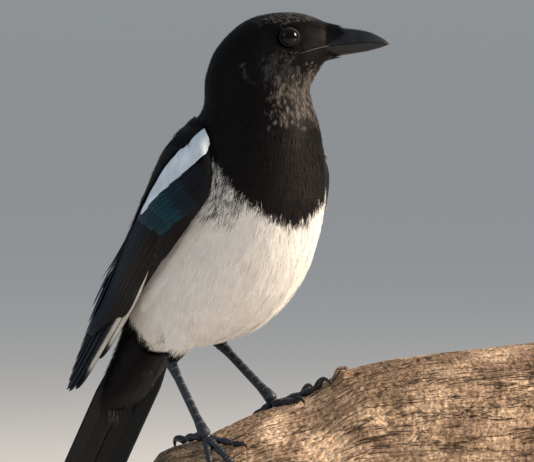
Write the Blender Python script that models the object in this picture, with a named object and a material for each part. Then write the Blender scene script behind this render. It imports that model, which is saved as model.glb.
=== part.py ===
"""A life-size Eurasian magpie standing on a short length of weathered log, on a plain display stand.

Lengths are millimetres in the bird's own frame, and become metres when a mesh is made.
Bird frame: origin where the tail leaves the body, +X the way the body faces, +Y its left, +Z up.
Row frame: the same directions, with the origin at the centre of the base's underside.
"""

import math

import bmesh
import bpy
import numpy as np
from mathutils import Vector
from mathutils.bvhtree import BVHTree

# Driving sizes, in millimetres and degrees
MM = 0.001
GAP = 0.3
TAIL_ROOT = Vector((-84.0, -24.0, 218.0))
HEAD_AT = Vector((96.0, 12.5, 152.0))
HEAD_YAW = 48.0
HEAD_PITCH = 3.0
BODY_SIDES = 24

EYE_RADIUS = 5.2
EYE_OUT = 12.6
LID_RADIUS = 4.9
LID_THICK = 0.85
FACE_AT = 20.5
BILL_LENGTH = 50.7

TAIL_PITCH = 55.0

TARSUS_RADIUS = 2.15
TOE_RADIUS = 1.7

BASE_RADIUS = 100.0
BASE_HEIGHT = 12.0
ROD_RADIUS = 4.0
ROD_SINK = 14.0
COLLAR_RADIUS = 9.0
COLLAR_HEIGHT = 3.0

# Colours as linear red, green, blue, with roughness and metallic values
FINISHES = {
    "black_plumage": ((0.010, 0.010, 0.013), 0.45, 0.0),
    "white_plumage": ((0.80, 0.78, 0.74), 0.70, 0.0),
    "wing_plumage": ((0.012, 0.022, 0.040), 0.32, 0.0),
    "bill_horn": ((0.016, 0.019, 0.026), 0.30, 0.0),
    "claw_horn": ((0.012, 0.013, 0.017), 0.28, 0.0),
    "eye": ((0.012, 0.008, 0.006), 0.05, 0.0),
    "leg_scales": ((0.022, 0.026, 0.034), 0.42, 0.0),
    "log_wood": ((0.42, 0.33, 0.25), 0.85, 0.0),
    "stand_wood": ((0.035, 0.028, 0.024), 0.40, 0.0),
    "stand_metal": ((0.35, 0.34, 0.32), 0.30, 1.0),
}


# General helpers


def clear_scene():
    for thing in list(bpy.data.objects):
        bpy.data.objects.remove(thing)


def finish(name):
    found = bpy.data.materials.get(name)
    if found:
        return found
    colour, roughness, metallic = FINISHES[name]
    made = bpy.data.materials.new(name)
    made.use_nodes = True
    shader = made.node_tree.nodes["Principled BSDF"]
    shader.inputs["Base Color"].default_value = (*colour, 1.0)
    shader.inputs["Roughness"].default_value = roughness
    shader.inputs["Metallic"].default_value = metallic
    return made


def curve(stops, at):
    """The value at one place on a smooth curve through (place, value) stops, level past its ends."""
    places = [stop[0] for stop in stops]
    values = [stop[1] for stop in stops]
    if at <= places[0]:
        return values[0]
    if at >= places[-1]:
        return values[-1]
    last = len(stops) - 1
    i = max(k for k in range(last) if places[k] <= at)

    def slope(k):
        low, high = max(k - 1, 0), min(k + 1, last)
        return (values[high] - values[low]) / (places[high] - places[low])

    width = places[i + 1] - places[i]
    t = (at - places[i]) / width
    return (
        (2 * t**3 - 3 * t**2 + 1) * values[i]
        + (t**3 - 2 * t**2 + t) * width * slope(i)
        + (3 * t**2 - 2 * t**3) * values[i + 1]
        + (t**3 - t**2) * width * slope(i + 1)
    )


def signed_power(value, power):
    return math.copysign(abs(value) ** power, value)


def section(centre, side, outward, half_width, out, back, squareness=(2.2, 2.2), count=BODY_SIDES):
    """One closed ring: half_width to each side, out along outward and back against it."""
    ring = []
    for j in range(count):
        angle = 2 * math.pi * j / count
        reach, power = (out, squareness[0]) if math.sin(angle) > 0 else (back, squareness[1])
        across = half_width * signed_power(math.cos(angle), 2 / power)
        along = reach * signed_power(math.sin(angle), 2 / power)
        ring.append(centre + side * across + outward * along)
    return ring


ROUND = (2.0, 2.0)


def build_object(name, finish_name, points, faces):
    """An object in the row frame from points in the bird's frame, in triangles that face outwards."""
    mesh = bpy.data.meshes.new(name)
    mesh.from_pydata([(Vector(p) + TAIL_ROOT) * MM for p in points], [], faces)
    shape = bmesh.new()
    shape.from_mesh(mesh)
    bmesh.ops.recalc_face_normals(shape, faces=shape.faces)
    bmesh.ops.triangulate(shape, faces=shape.faces)
    shape.to_mesh(mesh)
    shape.free()
    mesh.materials.append(finish(finish_name))
    made = bpy.data.objects.new(name, mesh)
    bpy.context.scene.collection.objects.link(made)
    return made


def loft(name, finish_name, rings):
    """A closed solid through rings of equal count, with a fan over each end."""
    count = len(rings[0])
    points = [p for ring in rings for p in ring]
    faces = []
    for r in range(len(rings) - 1):
        for j in range(count):
            k = (j + 1) % count
            low, high = r * count, (r + 1) * count
            faces.append((low + j, low + k, high + k, high + j))
    for first, ring in ((0, rings[0]), ((len(rings) - 1) * count, rings[-1])):
        middle = sum(ring, Vector()) / count
        points.append(middle)
        faces += [(first + j, first + (j + 1) % count, len(points) - 1) for j in range(count)]
    return build_object(name, finish_name, points, faces)


def apply_modifiers(thing):
    bpy.ops.object.select_all(action="DESELECT")
    bpy.context.view_layer.objects.active = thing
    for modifier in list(thing.modifiers):
        bpy.ops.object.modifier_apply(modifier=modifier.name)


def combine(target, others, operation, solver="EXACT"):
    """Joins the others to the target, or cuts them from it, and removes them."""
    helpers = bpy.data.collections.new("helpers")
    for thing in others:
        helpers.objects.link(thing)
    modifier = target.modifiers.new("combine", "BOOLEAN")
    modifier.operation = operation
    modifier.operand_type = "COLLECTION"
    modifier.collection = helpers
    modifier.solver = solver
    apply_modifiers(target)
    for thing in others:
        bpy.data.objects.remove(thing)
    bpy.data.collections.remove(helpers)
    return keep_largest(target)


def keep_largest(thing):
    """Keeps only the closed surface that holds the most."""
    shape = bmesh.new()
    shape.from_mesh(thing.data)
    unseen = set(shape.faces)
    shells = []
    while unseen:
        shell, front = set(), [unseen.pop()]
        while front:
            face = front.pop()
            shell.add(face)
            for edge in face.edges:
                for near in edge.link_faces:
                    if near in unseen:
                        unseen.discard(near)
                        front.append(near)
        shells.append(shell)

    def volume(shell):
        total = 0.0
        for face in shell:
            corners = [v.co for v in face.verts]
            for a, b in zip(corners[1:], corners[2:]):
                total += corners[0].dot(a.cross(b))
        return total

    shells.sort(key=volume)
    loose = [face for shell in shells[:-1] for face in shell]
    bmesh.ops.delete(shape, geom=loose, context="FACES")
    shape.to_mesh(thing.data)
    shape.free()
    return thing


def trim(thing, at, away):
    """Removes what lies past a plane, given in the bird's frame, on the side it points to, and closes the cut."""
    shape = bmesh.new()
    shape.from_mesh(thing.data)
    cut = bmesh.ops.bisect_plane(
        shape,
        geom=shape.verts[:] + shape.edges[:] + shape.faces[:],
        dist=1e-7,
        plane_co=(Vector(at) + TAIL_ROOT) * MM,
        plane_no=away,
        clear_outer=True,
    )
    rim = [e for e in cut["geom_cut"] if isinstance(e, bmesh.types.BMEdge)]
    bmesh.ops.triangle_fill(shape, use_beauty=True, use_dissolve=False, edges=rim)
    bmesh.ops.recalc_face_normals(shape, faces=shape.faces)
    shape.to_mesh(thing.data)
    shape.free()
    return thing


def copy_of(thing, name, swell=0.0):
    """A copy with its own mesh, each point moved out along its normal by swell millimetres."""
    made = bpy.data.objects.new(name, thing.data.copy())
    bpy.context.scene.collection.objects.link(made)
    if swell:
        normals = [v.normal.copy() for v in made.data.vertices]
        for vertex, normal in zip(made.data.vertices, normals):
            vertex.co += normal * swell * MM
    return made


def ball(name, finish_name, centre, radius, rings=12, sides=20, axis=Vector((0, 0, 1))):
    side = axis.orthogonal().normalized()
    other = axis.cross(side).normalized()
    stack = []
    for r in range(1, rings):
        angle = math.pi * r / rings
        middle = centre - axis * radius * math.cos(angle)
        stack.append(section(middle, side, other, *(radius * math.sin(angle),) * 3, ROUND, sides))
    return loft(name, finish_name, stack)


def tube(name, finish_name, path, radii, sides=8, flat=1.0, side_hint=Vector((0, 0, 1))):
    """A closed tube along a path, flattened across side_hint's way by flat."""
    rings = []
    for i, (point, radius) in enumerate(zip(path, radii)):
        ahead = path[min(i + 1, len(path) - 1)] - path[max(i - 1, 0)]
        ahead.normalize()
        across = ahead.cross(side_hint).normalized()
        up = across.cross(ahead).normalized()
        rings.append(section(point, across, up, radius, radius * flat, radius * flat, ROUND, sides))
    return loft(name, finish_name, rings)


# The head's own frame: ahead along the bill, left, and up


def head_axes():
    yaw, pitch = math.radians(HEAD_YAW), math.radians(HEAD_PITCH)
    ahead = Vector(
        (math.cos(yaw) * math.cos(pitch), math.sin(yaw) * math.cos(pitch), math.sin(pitch))
    )
    left = Vector((-math.sin(yaw), math.cos(yaw), 0.0))
    return ahead, left, ahead.cross(left)


def on_head(ahead, left, up):
    forward, sideways, upward = head_axes()
    return HEAD_AT + forward * ahead + sideways * left + upward * up


# Torso, neck and head as one form, parted afterwards with thin cuts

# Along the back from rump to neck: x, z, pitch and yaw of the ring, half width, depth of back and of front
TORSO_RINGS = (
    (-6.0, -4.0, 48.0, 0.0, 15.0, 11.0, 12.0),
    (20.0, 14.0, 37.0, 0.0, 29.0, 28.0, 27.0),
    (45.0, 33.0, 43.0, 0.0, 38.0, 36.6, 42.0),
    (64.0, 55.0, 55.0, 0.0, 41.0, 38.4, 47.0),
    (76.0, 80.0, 68.0, 4.0, 41.0, 38.0, 43.0),
    (83.0, 99.0, 77.0, 18.0, 36.0, 32.5, 34.5),
    (86.0, 112.0, 85.0, 36.0, 29.5, 29.0, 29.5),
)
TORSO_STEPS = 15
# The back is flatter than the belly
BACK_SQUARENESS = 2.3
# The head's rings fan out from a line ahead of the throat: turn, near and far edge, half width
HEAD_PIVOT = (FACE_AT, -32.0)
THROAT_EDGE = ((0, 10.5), (14, 12.0), (40, 13.4), (62, 14.2), (78, 18.2), (90, 20.8))
CROWN_EDGE = (
    (0, 66.0), (13, 66.4), (22, 66.0), (27, 64.6), (39, 61.9), (47.5, 58.9),
    (57, 54.3), (64, 50.8), (74, 46.2), (84, 40.8), (90, 38.2),
)
HEAD_WIDTH = ((0, 27.0), (20, 24.0), (38, 20.0), (50, 17.4), (60, 15.8), (74, 12.6), (84, 9.2), (90, 7.4))
HEAD_TURNS = (0, 12, 24, 34, 43, 51, 58, 65, 72, 79, 85, 90)


def torso_rings():
    rings = []
    columns = [
        [(i, ring[c]) for i, ring in enumerate(TORSO_RINGS)] for c in range(len(TORSO_RINGS[0]))
    ]
    last = len(TORSO_RINGS) - 1
    for step in range(TORSO_STEPS):
        at = last * step / (TORSO_STEPS - 1)
        x, z, pitch, yaw, wide, back, front = (curve(column, at) for column in columns)
        lean, turn = math.radians(pitch), math.radians(yaw)
        to_left = Vector((-math.sin(turn), math.cos(turn), 0.0))
        level = Vector((math.cos(turn), math.sin(turn), 0.0))
        to_back = level * -math.sin(lean) + Vector((0, 0, math.cos(lean)))
        rings.append(
            section(Vector((x, 0.0, z)), to_left, to_back, wide, back, front, (BACK_SQUARENESS, 2.2))
        )
    return rings


def head_rings():
    rings = []
    forward, sideways, upward = head_axes()
    for turn in HEAD_TURNS:
        angle = math.radians(turn)
        near, far = curve(THROAT_EDGE, turn), curve(CROWN_EDGE, turn)
        outward = forward * -math.cos(angle) + upward * math.sin(angle)
        pivot = on_head(HEAD_PIVOT[0], 0.0, HEAD_PIVOT[1])
        half = (far - near) / 2
        centre = pivot + outward * (near + half)
        rings.append(section(centre, sideways, outward, curve(HEAD_WIDTH, turn), half, half))
    return rings


def whole_body():
    return loft("whole_body", "black_plumage", torso_rings() + head_rings())


def build_body():
    """Head, neck and torso as three nodes. Returns the torso and the form that the rest is fitted to."""
    body = whole_body()
    neck_low = (Vector((80.0, 0.0, 96.0)), Vector((0.20, 0.0, 0.98)).normalized())
    neck_high = (on_head(-12.0, 0.0, -25.0), Vector((-0.25, -0.25, 0.93)).normalized())
    torso = copy_of(body, "torso")
    trim(torso, neck_low[0] - neck_low[1] * GAP / 2, neck_low[1])
    neck = copy_of(body, "neck")
    trim(neck, neck_low[0] + neck_low[1] * GAP / 2, -neck_low[1])
    trim(neck, neck_high[0] - neck_high[1] * GAP / 2, neck_high[1])
    head = copy_of(body, "head")
    trim(head, neck_high[0] + neck_high[1] * GAP / 2, -neck_high[1])
    torso.data.materials[0] = finish("white_plumage")
    build_eyes(head)
    return body


def build_eyes(head):
    lids, sockets = [], []
    for name, hand in (("left", 1.0), ("right", -1.0)):
        centre = on_head(0.0, hand * EYE_OUT, 0.0)
        axis = (head_axes()[1] * hand + head_axes()[0] * 0.18).normalized()
        lids.append(lid_ring(f"lid_{name}", centre, axis))
        sockets.append(ball(f"socket_{name}", "eye", centre, EYE_RADIUS + GAP, 10, 16, axis))
        ball(f"eye_{name}", "eye", centre, EYE_RADIUS, 10, 16, axis)
    combine(head, lids, "UNION")
    combine(head, sockets, "DIFFERENCE")


def lid_ring(name, centre, axis, steps=16, sides=6):
    """The ring of bare lid round an eye, as a closed hoop half sunk in the head."""
    side = axis.orthogonal().normalized()
    other = axis.cross(side).normalized()
    out = axis * (EYE_RADIUS * 0.52)
    points, faces = [], []
    for i in range(steps):
        angle = 2 * math.pi * i / steps
        spoke = side * math.cos(angle) + other * math.sin(angle)
        for j in range(sides):
            turn = 2 * math.pi * j / sides
            reach = LID_RADIUS + LID_THICK * math.cos(turn)
            points.append(centre + out + spoke * reach + axis * LID_THICK * math.sin(turn))
    for i in range(steps):
        for j in range(sides):
            a, b = i * sides, ((i + 1) % steps) * sides
            k = (j + 1) % sides
            faces.append((a + j, a + k, b + k, b + j))
    return build_object(name, "black_plumage", points, faces)


# The bill, in the head's frame: height of each line at a distance ahead
CULMEN = (
    (FACE_AT, 5.4), (26.3, 3.9), (31.0, 3.0), (36.0, 2.1), (41.0, 0.6), (45.9, -2.1),
    (48.7, -4.1), (BILL_LENGTH, -6.2),
)
CUTTING_EDGE = ((FACE_AT, -5.0), (26.0, -4.6), (35.8, -4.1), (40.7, -4.5), (45.7, -5.2), (BILL_LENGTH, -6.5))
BILL_KEEL = ((FACE_AT, -11.2), (25.5, -10.6), (35.5, -9.5), (40.5, -8.8), (45.6, -7.6), (49.2, -6.5))
BILL_WIDTH = ((FACE_AT, 6.6), (28.0, 5.6), (38.0, 4.2), (44.0, 2.8), (49.0, 1.2), (BILL_LENGTH, 0.4))


def bill_half(name, top_line, low_line, length, ridge_up, steps=9, sides=9):
    """One mandible: flat along the cutting edge and rounded on the other side."""
    rings = []
    start = FACE_AT + GAP
    for i in range(steps):
        ahead = start + (length - start) * (i / (steps - 1)) ** 0.85
        top, low = curve(top_line, ahead), curve(low_line, ahead)
        wide = curve(BILL_WIDTH, ahead)
        ring = []
        for j in range(sides):
            angle = math.pi * j / (sides - 1)
            lift = math.sin(angle) ** 1.15
            height = low + (top - low) * lift if ridge_up else top - (top - low) * lift
            ring.append(on_head(ahead, wide * math.cos(angle), height))
        rings.append(ring)
    return loft(name, "bill_horn", rings)


def build_bill():
    bill_half("bill_upper", CULMEN, CUTTING_EDGE, BILL_LENGTH, True)
    lower_top = [(place, height - GAP) for place, height in CUTTING_EDGE]
    bill_half("bill_lower", lower_top, BILL_KEEL, BILL_LENGTH - 1.6, False)


# The log: distance along it, height of its top line, radius
LOG_FROM = Vector((66.5, -13.5, 0.0))
LOG_HEADING = 65.0
LOG_TOP = (
    (-31, -64.0), (-26, -58.0), (-4, -51.0), (25, -39.0), (46, -33.0),
    (62, -23.5), (73, -18.0), (102, -12.5), (139, -9.0), (182, -5.0),
)
LOG_RADIUS = ((-31, 14.0), (-26, 18.0), (-10, 22.5), (20, 27.5), (49, 32.0), (90, 37.0), (182, 41.0))
LOG_ENDS = (-31, 182)


def log_axes():
    turn = math.radians(LOG_HEADING)
    along = Vector((math.cos(turn), math.sin(turn), 0.0))
    return along, Vector((math.sin(turn), -math.cos(turn), 0.0))


def log_centre(at):
    along, _ = log_axes()
    centre = LOG_FROM + along * at
    centre.z = curve(LOG_TOP, at) - curve(LOG_RADIUS, at)
    return centre


def build_log(steps=22, sides=22):
    rings = []
    _, across = log_axes()
    for i in range(steps):
        at = LOG_ENDS[0] + (LOG_ENDS[1] - LOG_ENDS[0]) * i / (steps - 1)
        radius = curve(LOG_RADIUS, at)
        ring = []
        for j in range(sides):
            angle = 2 * math.pi * j / sides
            low_side = 0.5 - 0.5 * math.sin(angle)
            swell = 0.045 * math.sin(3 * angle + at * 0.021) + 0.03 * math.sin(5 * angle - at * 0.035)
            reach = radius * (1 + swell * low_side)
            spoke = across * math.cos(angle) + Vector((0, 0, math.sin(angle)))
            ring.append(log_centre(at) + spoke * reach)
        rings.append(ring)
    return loft("perch_log", "log_wood", rings)


# Legs: the heel and the foot's root for each side, chosen from the photo

LEGS = {
    "right": {"heel": Vector((40.0, -19.0, -15.0)), "foot": Vector((70.5, -21.0)), "hand": -1.0, "turn": -12.0},
    "left": {"heel": Vector((33.0, 19.0, -8.0)), "foot": Vector((72.0, 22.0)), "hand": 1.0, "turn": 32.0},
}
FOOT_LIFT = 5.6
HIP = {"ahead": 14.0, "up": 30.0, "radius": 12.0}
# Toes: turn from straight ahead towards the outer side, length, and claw length
TOES = {
    "hind": {"turn": 162.0, "length": 17.0, "claw": 11.5, "thick": 1.1},
    "inner": {"turn": -30.0, "length": 19.0, "claw": 9.0, "thick": 0.95},
    "middle": {"turn": 0.0, "length": 27.0, "claw": 9.5, "thick": 1.0},
    "outer": {"turn": 28.0, "length": 20.5, "claw": 8.5, "thick": 0.9},
}
TOE_CLEAR = 0.45


class Ground:
    """The log's surface, for what stands on it."""

    def __init__(self, thing):
        shape = bmesh.new()
        shape.from_mesh(thing.data)
        self.tree = BVHTree.FromBMesh(shape)
        shape.free()

    def under(self, x, y):
        start = (Vector((x, y, 200.0)) + TAIL_ROOT) * MM
        hit, normal, _, _ = self.tree.ray_cast(start, Vector((0, 0, -1)))
        return hit / MM - TAIL_ROOT, normal

    def nearest(self, point):
        hit, normal, _, _ = self.tree.find_nearest((point + TAIL_ROOT) * MM)
        return hit / MM - TAIL_ROOT, normal

    def trace(self, start, heading, length, count):
        """Points and normals along the surface from start, keeping to a heading."""
        point, normal = self.nearest(start)
        found = [(point, normal)]
        step = length / count
        heading = heading.copy()
        for _ in range(count):
            level = (heading - normal * heading.dot(normal)).normalized()
            new, normal = self.nearest(point + level * step)
            heading = (new - point).normalized()
            point = new
            found.append((point, normal))
        return found


def toe_heading(leg, turn):
    angle = math.radians(leg["turn"] + turn * leg["hand"])
    return Vector((math.cos(angle), math.sin(angle), 0.0))


def build_foot(name, leg, ground):
    """One foot of four toes with their claws, which follow the log. Returns the foot's root."""
    surface, normal = ground.under(*leg["foot"])
    root = surface + normal * FOOT_LIFT
    pieces = []
    for toe_name, toe in TOES.items():
        radius = TOE_RADIUS * toe["thick"]
        heading = toe_heading(leg, toe["turn"])
        track = ground.trace(surface, heading, toe["length"] + toe["claw"], 12)
        share = toe["length"] / (toe["length"] + toe["claw"])
        split = round(12 * share)
        lifts = [FOOT_LIFT] + [radius + TOE_CLEAR] * split
        path = [p + n * lift for (p, n), lift in zip(track[: split + 1], lifts)]
        path[0] = root - (path[1] - root).normalized() * 0.5
        swells = [1.15 if i % 3 == 0 else 0.98 for i in range(len(path))]
        swells[-1] = 0.8
        pieces.append(
            tube(f"{name}_{toe_name}", "leg_scales", path, [radius * s for s in swells], 8, 0.95, normal)
        )
        build_claw(f"claw_{name}_{toe_name}", track, split, path[-1] - path[-2], path[-1], radius, toe)
    foot = ball(f"foot_{name}", "leg_scales", root, 3.3, 8, 12, normal)
    combine(foot, pieces, "UNION")
    return root, normal


def build_claw(name, track, split, ahead, toe_end, radius, toe, steps=6):
    """A claw that arches up from the toe's end and comes down on the wood."""
    ahead = ahead.normalized()
    first = toe_end + ahead * GAP
    last_point, last_normal = track[-1]
    landing = last_point + last_normal * 0.5
    crest = (first + landing) / 2 + track[split][1] * toe["claw"] * 0.36 + ahead * toe["claw"] * 0.12
    path, radii = [], []
    for i in range(steps + 1):
        t = i / steps
        path.append(first * (1 - t) ** 2 + crest * 2 * t * (1 - t) + landing * t * t)
        radii.append(radius * 0.72 * (1 - t) ** 0.7 + 0.22)
    path.insert(0, toe_end - ahead)
    radii.insert(0, radii[0])
    claw = tube(name, "claw_horn", path, radii, 6, 1.15, track[split][1])
    trim(claw, first, -ahead)


def build_legs(ground, body):
    swollen = [copy_of(body, f"body_for_thigh_{side}", GAP + 0.05) for side in LEGS]
    for (name, leg), cutter in zip(LEGS.items(), swollen):
        root, normal = build_foot(name, leg, ground)
        heel = leg["heel"]
        shin = (heel - root).normalized()
        low = root + shin * 4.6
        high = heel - shin * 2.2
        steps = 6
        path = [low + (high - low) * i / steps for i in range(steps + 1)]
        swell = (1.25, 1.02, 0.95, 0.95, 1.0, 1.18, 1.45)
        shank = tube(f"tarsus_{name}", "leg_scales", path, [TARSUS_RADIUS * s for s in swell], 10, 1.12)
        trim(shank, low, -shin)
        foot = bpy.data.objects[f"foot_{name}"]
        trim(foot, low - shin * GAP, shin)
        build_thigh(name, leg, high + shin * GAP, shin, cutter)


def build_thigh(name, leg, start, shin, cutter):
    """The feathered shank above the heel, cut to meet the torso."""
    knee = Vector((leg["heel"].x + HIP["ahead"], leg["heel"].y, leg["heel"].z + HIP["up"]))
    path, radii = [], []
    steps = 6
    for i in range(steps + 1):
        t = i / steps
        path.append(start.lerp(knee, t))
        radii.append(3.7 + (HIP["radius"] - 3.7) * t**0.85)
    thigh = tube(f"thigh_{name}", "black_plumage", path, radii, 14)
    trim(thigh, start, -shin)
    combine(thigh, [cutter], "DIFFERENCE")


# Wings: guide lines for the lower edge, the middle and the upper edge of the folded wing,
# on the bird's right, from the shoulder (below 0) to the tip (1)

WING_PLACES = (-0.12, 0.0, 0.25, 0.5, 0.75, 1.0)
WING_LOW = ((91, -33, 96), (95, -37, 77), (77, -45, 51), (46, -40, 27), (15, -32, 5), (-31, -28, -36))
WING_MID = ((87, -33, 104), (87, -38, 92), (62, -44, 70), (30, -36, 45), (-2, -26, 16), (-41, -24, -31))
WING_TOP = ((75, -27, 109), (65, -26, 104), (41, -23, 85), (9, -14, 54), (-27, -10, 21), (-50, -16, -26))
WING_GRID = (26, 11)
WING_CLEAR = 0.8


class WingSurface:
    """The folded wing's inner face, draped over the torso. s runs from shoulder to tip, t from lower to upper edge."""

    def __init__(self, hand, body):
        self.hand = hand
        shape = bmesh.new()
        shape.from_mesh(body.data)
        tree = BVHTree.FromBMesh(shape)
        shape.free()
        count_s, count_t = WING_GRID
        self.points = np.zeros((count_s, count_t, 3))
        for i in range(count_s):
            s = WING_PLACES[0] + (1 - WING_PLACES[0]) * i / (count_s - 1)
            low, mid, top = (self.guide(line, s) for line in (WING_LOW, WING_MID, WING_TOP))
            for j in range(count_t):
                t = -0.15 + 1.3 * j / (count_t - 1)
                handle = mid * 2 - (low + top) / 2
                self.points[i, j] = low * (1 - t) ** 2 + handle * 2 * t * (1 - t) + top * t * t
        for _ in range(3):
            self.push_clear(tree)
            inner = self.points[1:-1, 1:-1]
            around = (
                self.points[:-2, 1:-1] + self.points[2:, 1:-1]
                + self.points[1:-1, :-2] + self.points[1:-1, 2:]
            )
            self.points[1:-1, 1:-1] = inner * 0.4 + around * 0.15
        self.push_clear(tree)

    def guide(self, line, s):
        return Vector(
            [curve([(p, point[axis]) for p, point in zip(WING_PLACES, line)], s) for axis in range(3)]
        )

    def push_clear(self, tree):
        """Moves each point that lies in the torso out of it, on the wing's own side."""
        for i in range(WING_GRID[0]):
            for j in range(WING_GRID[1]):
                point = self.turned(Vector(self.points[i, j]))
                hit, normal, _, _ = tree.find_nearest((point + TAIL_ROOT) * MM)
                hit = hit / MM - TAIL_ROOT
                height = (point - hit).dot(normal)
                if height < WING_CLEAR:
                    self.points[i, j] = self.turned(hit + normal * WING_CLEAR)

    def turned(self, point):
        """The point on the wing's own side for one on the bird's right, or back."""
        return Vector((point.x, point.y * -self.hand, point.z))

    def bare(self, s, t):
        count_s, count_t = WING_GRID
        u = (s - WING_PLACES[0]) / (1 - WING_PLACES[0]) * (count_s - 1)
        v = (t + 0.15) / 1.3 * (count_t - 1)
        i = min(max(int(math.floor(u)), 0), count_s - 2)
        j = min(max(int(math.floor(v)), 0), count_t - 2)
        a, b = u - i, v - j
        return (
            self.points[i, j] * (1 - a) * (1 - b)
            + self.points[i + 1, j] * a * (1 - b)
            + self.points[i, j + 1] * (1 - a) * b
            + self.points[i + 1, j + 1] * a * b
        )

    def span(self, s):
        """The length across the wing from t of 0 to 1."""
        return 2 * float(np.linalg.norm(self.bare(s, 0.75) - self.bare(s, 0.25)))

    def at(self, s, t, height):
        """The point at a height over the surface, in the bird's frame."""
        point = Vector(self.bare(s, t))
        along = Vector(self.bare(s + 0.03, t) - self.bare(s - 0.03, t))
        across = Vector(self.bare(s, t + 0.08) - self.bare(s, t - 0.08))
        normal = along.cross(across).normalized()
        if normal.y > 0.2:
            normal = -normal
        return self.turned(point + normal * height)


# The wing's core, which carries the feathers: half its spread in t at each place, and its height
CORE_END = 0.55
CORE_SPREAD = ((-0.12, 0.10), (-0.05, 0.34), (0.05, 0.46), (0.3, 0.46), (CORE_END, 0.42))
CORE_HEIGHT = (
    (-0.12, 1.2), (-0.05, 2.8), (0.0, 3.8), (0.08, 4.6), (0.2, 4.8), (0.35, 3.9), (0.45, 3.2), (CORE_END, 2.8),
)
CORE_LEAST = 1.1
# How much lower every layer lies near the wing's lower and upper edges
LOWER_DIP = ((0.0, 3.0), (0.2, 4.4), (0.5, 2.6), (0.7, 1.2))
UPPER_DIP = ((0.0, 4.6), (0.25, 4.6), (0.5, 2.6), (0.7, 1.0))

# Feathers of the folded wing. Each tier gives the height of its middle layer at each place and its tilt,
# then each feather's root and tip as (s, t), and its width in millimetres.
VANE_THICK = 0.52
VANE_LEAST = 0.65
VANE_STEP = 0.09
VANE_OUTLINE = ((0.0, 0.36), (0.22, 0.86), (0.5, 1.0), (0.82, 0.97), (0.94, 0.72), (1.0, 0.22))
WING_TIERS = {
    "primary": {
        "height": ((0.46, 1.4), (0.56, 1.6), (0.8, 1.7), (1.0, 1.7)),
        "tilt": 0.20,
        "dips": False,
        "feathers": (
            ((0.46, 0.10), (0.90, 0.05), 13),
            ((0.46, 0.20), (0.97, 0.24), 13),
            ((0.46, 0.30), (1.0, 0.43), 13),
            ((0.46, 0.40), (0.98, 0.62), 13),
            ((0.46, 0.50), (0.94, 0.74), 13),
            ((0.46, 0.60), (0.89, 0.84), 13),
        ),
    },
    "secondary": {
        "height": ((0.28, 3.0), (0.36, 5.0), (0.45, 5.0), (0.54, 4.9), (0.7, 4.7), (0.86, 4.5)),
        "tilt": 0.105,
        "dips": True,
        "feathers": (
            ((0.28, 0.20), (0.765, 0.11), 18),
            ((0.28, 0.35), (0.80, 0.28), 19),
            ((0.28, 0.49), (0.83, 0.45), 19),
            ((0.28, 0.62), (0.855, 0.62), 19),
            ((0.28, 0.75), (0.84, 0.78), 19),
            ((0.28, 0.87), (0.70, 0.92), 17),
        ),
    },
    "covert": {
        "height": ((0.11, 3.0), (0.18, 6.3), (0.27, 7.0), (0.36, 7.4), (0.47, 7.4)),
        "tilt": 0.115,
        "dips": True,
        "feathers": (
            ((0.11, 0.14), (0.47, 0.08), 15),
            ((0.11, 0.28), (0.375, 0.23), 17),
            ((0.11, 0.41), (0.39, 0.38), 17),
            ((0.11, 0.54), (0.405, 0.53), 17),
            ((0.11, 0.67), (0.42, 0.68), 17),
        ),
    },
    "scapular": {
        "height": ((-0.02, 2.0), (0.09, 6.3), (0.18, 7.0), (0.27, 7.3), (0.36, 7.4), (0.43, 7.4)),
        "tilt": 0.15,
        "dips": True,
        "feathers": (
            ((-0.02, 0.58), (0.18, 0.60), 15),
            ((-0.02, 0.71), (0.29, 0.75), 15),
            ((-0.02, 0.84), (0.42, 0.90), 14),
        ),
    },
}


def edge_dip(s, t):
    low = curve(LOWER_DIP, s) * max(0.0, 1 - t / 0.4) ** 1.5
    high = curve(UPPER_DIP, s) * max(0.0, (t - 0.45) / 0.55) ** 1.5
    return low + high


def core_top(s, t):
    return max(CORE_LEAST, curve(CORE_HEIGHT, s) - edge_dip(s, t))


def plate(name, finish_name, top, bottom):
    """A thin closed solid between two grids of points, split into the same triangles on both faces."""
    rows, columns = len(top), len(top[0])
    points = [p for row in top for p in row] + [p for row in bottom for p in row]
    under = rows * columns
    faces = []
    for r in range(rows - 1):
        for c in range(columns - 1):
            a, b = r * columns + c, r * columns + c + 1
            d, e = a + columns, b + columns
            for corner in ((a, b, e), (a, e, d)):
                faces.append(corner)
                faces.append(tuple(under + k for k in reversed(corner)))
    rim = [c for c in range(columns)]
    rim += [r * columns + columns - 1 for r in range(1, rows)]
    rim += [(rows - 1) * columns + c for c in range(columns - 2, -1, -1)]
    rim += [r * columns for r in range(rows - 2, 0, -1)]
    for k, first in enumerate(rim):
        second = rim[(k + 1) % len(rim)]
        faces.append((second, first, under + first))
        faces.append((second, under + first, under + second))
    return build_object(name, finish_name, points, faces)


def stations(first, last):
    """Places along a feather: those that all feathers share, and its own ends."""
    shared = [VANE_STEP * k for k in range(12)]
    inside = [s for s in shared if first + 0.02 < s < last - 0.045]
    return [first] + inside + [last - 0.028, last]


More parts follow.
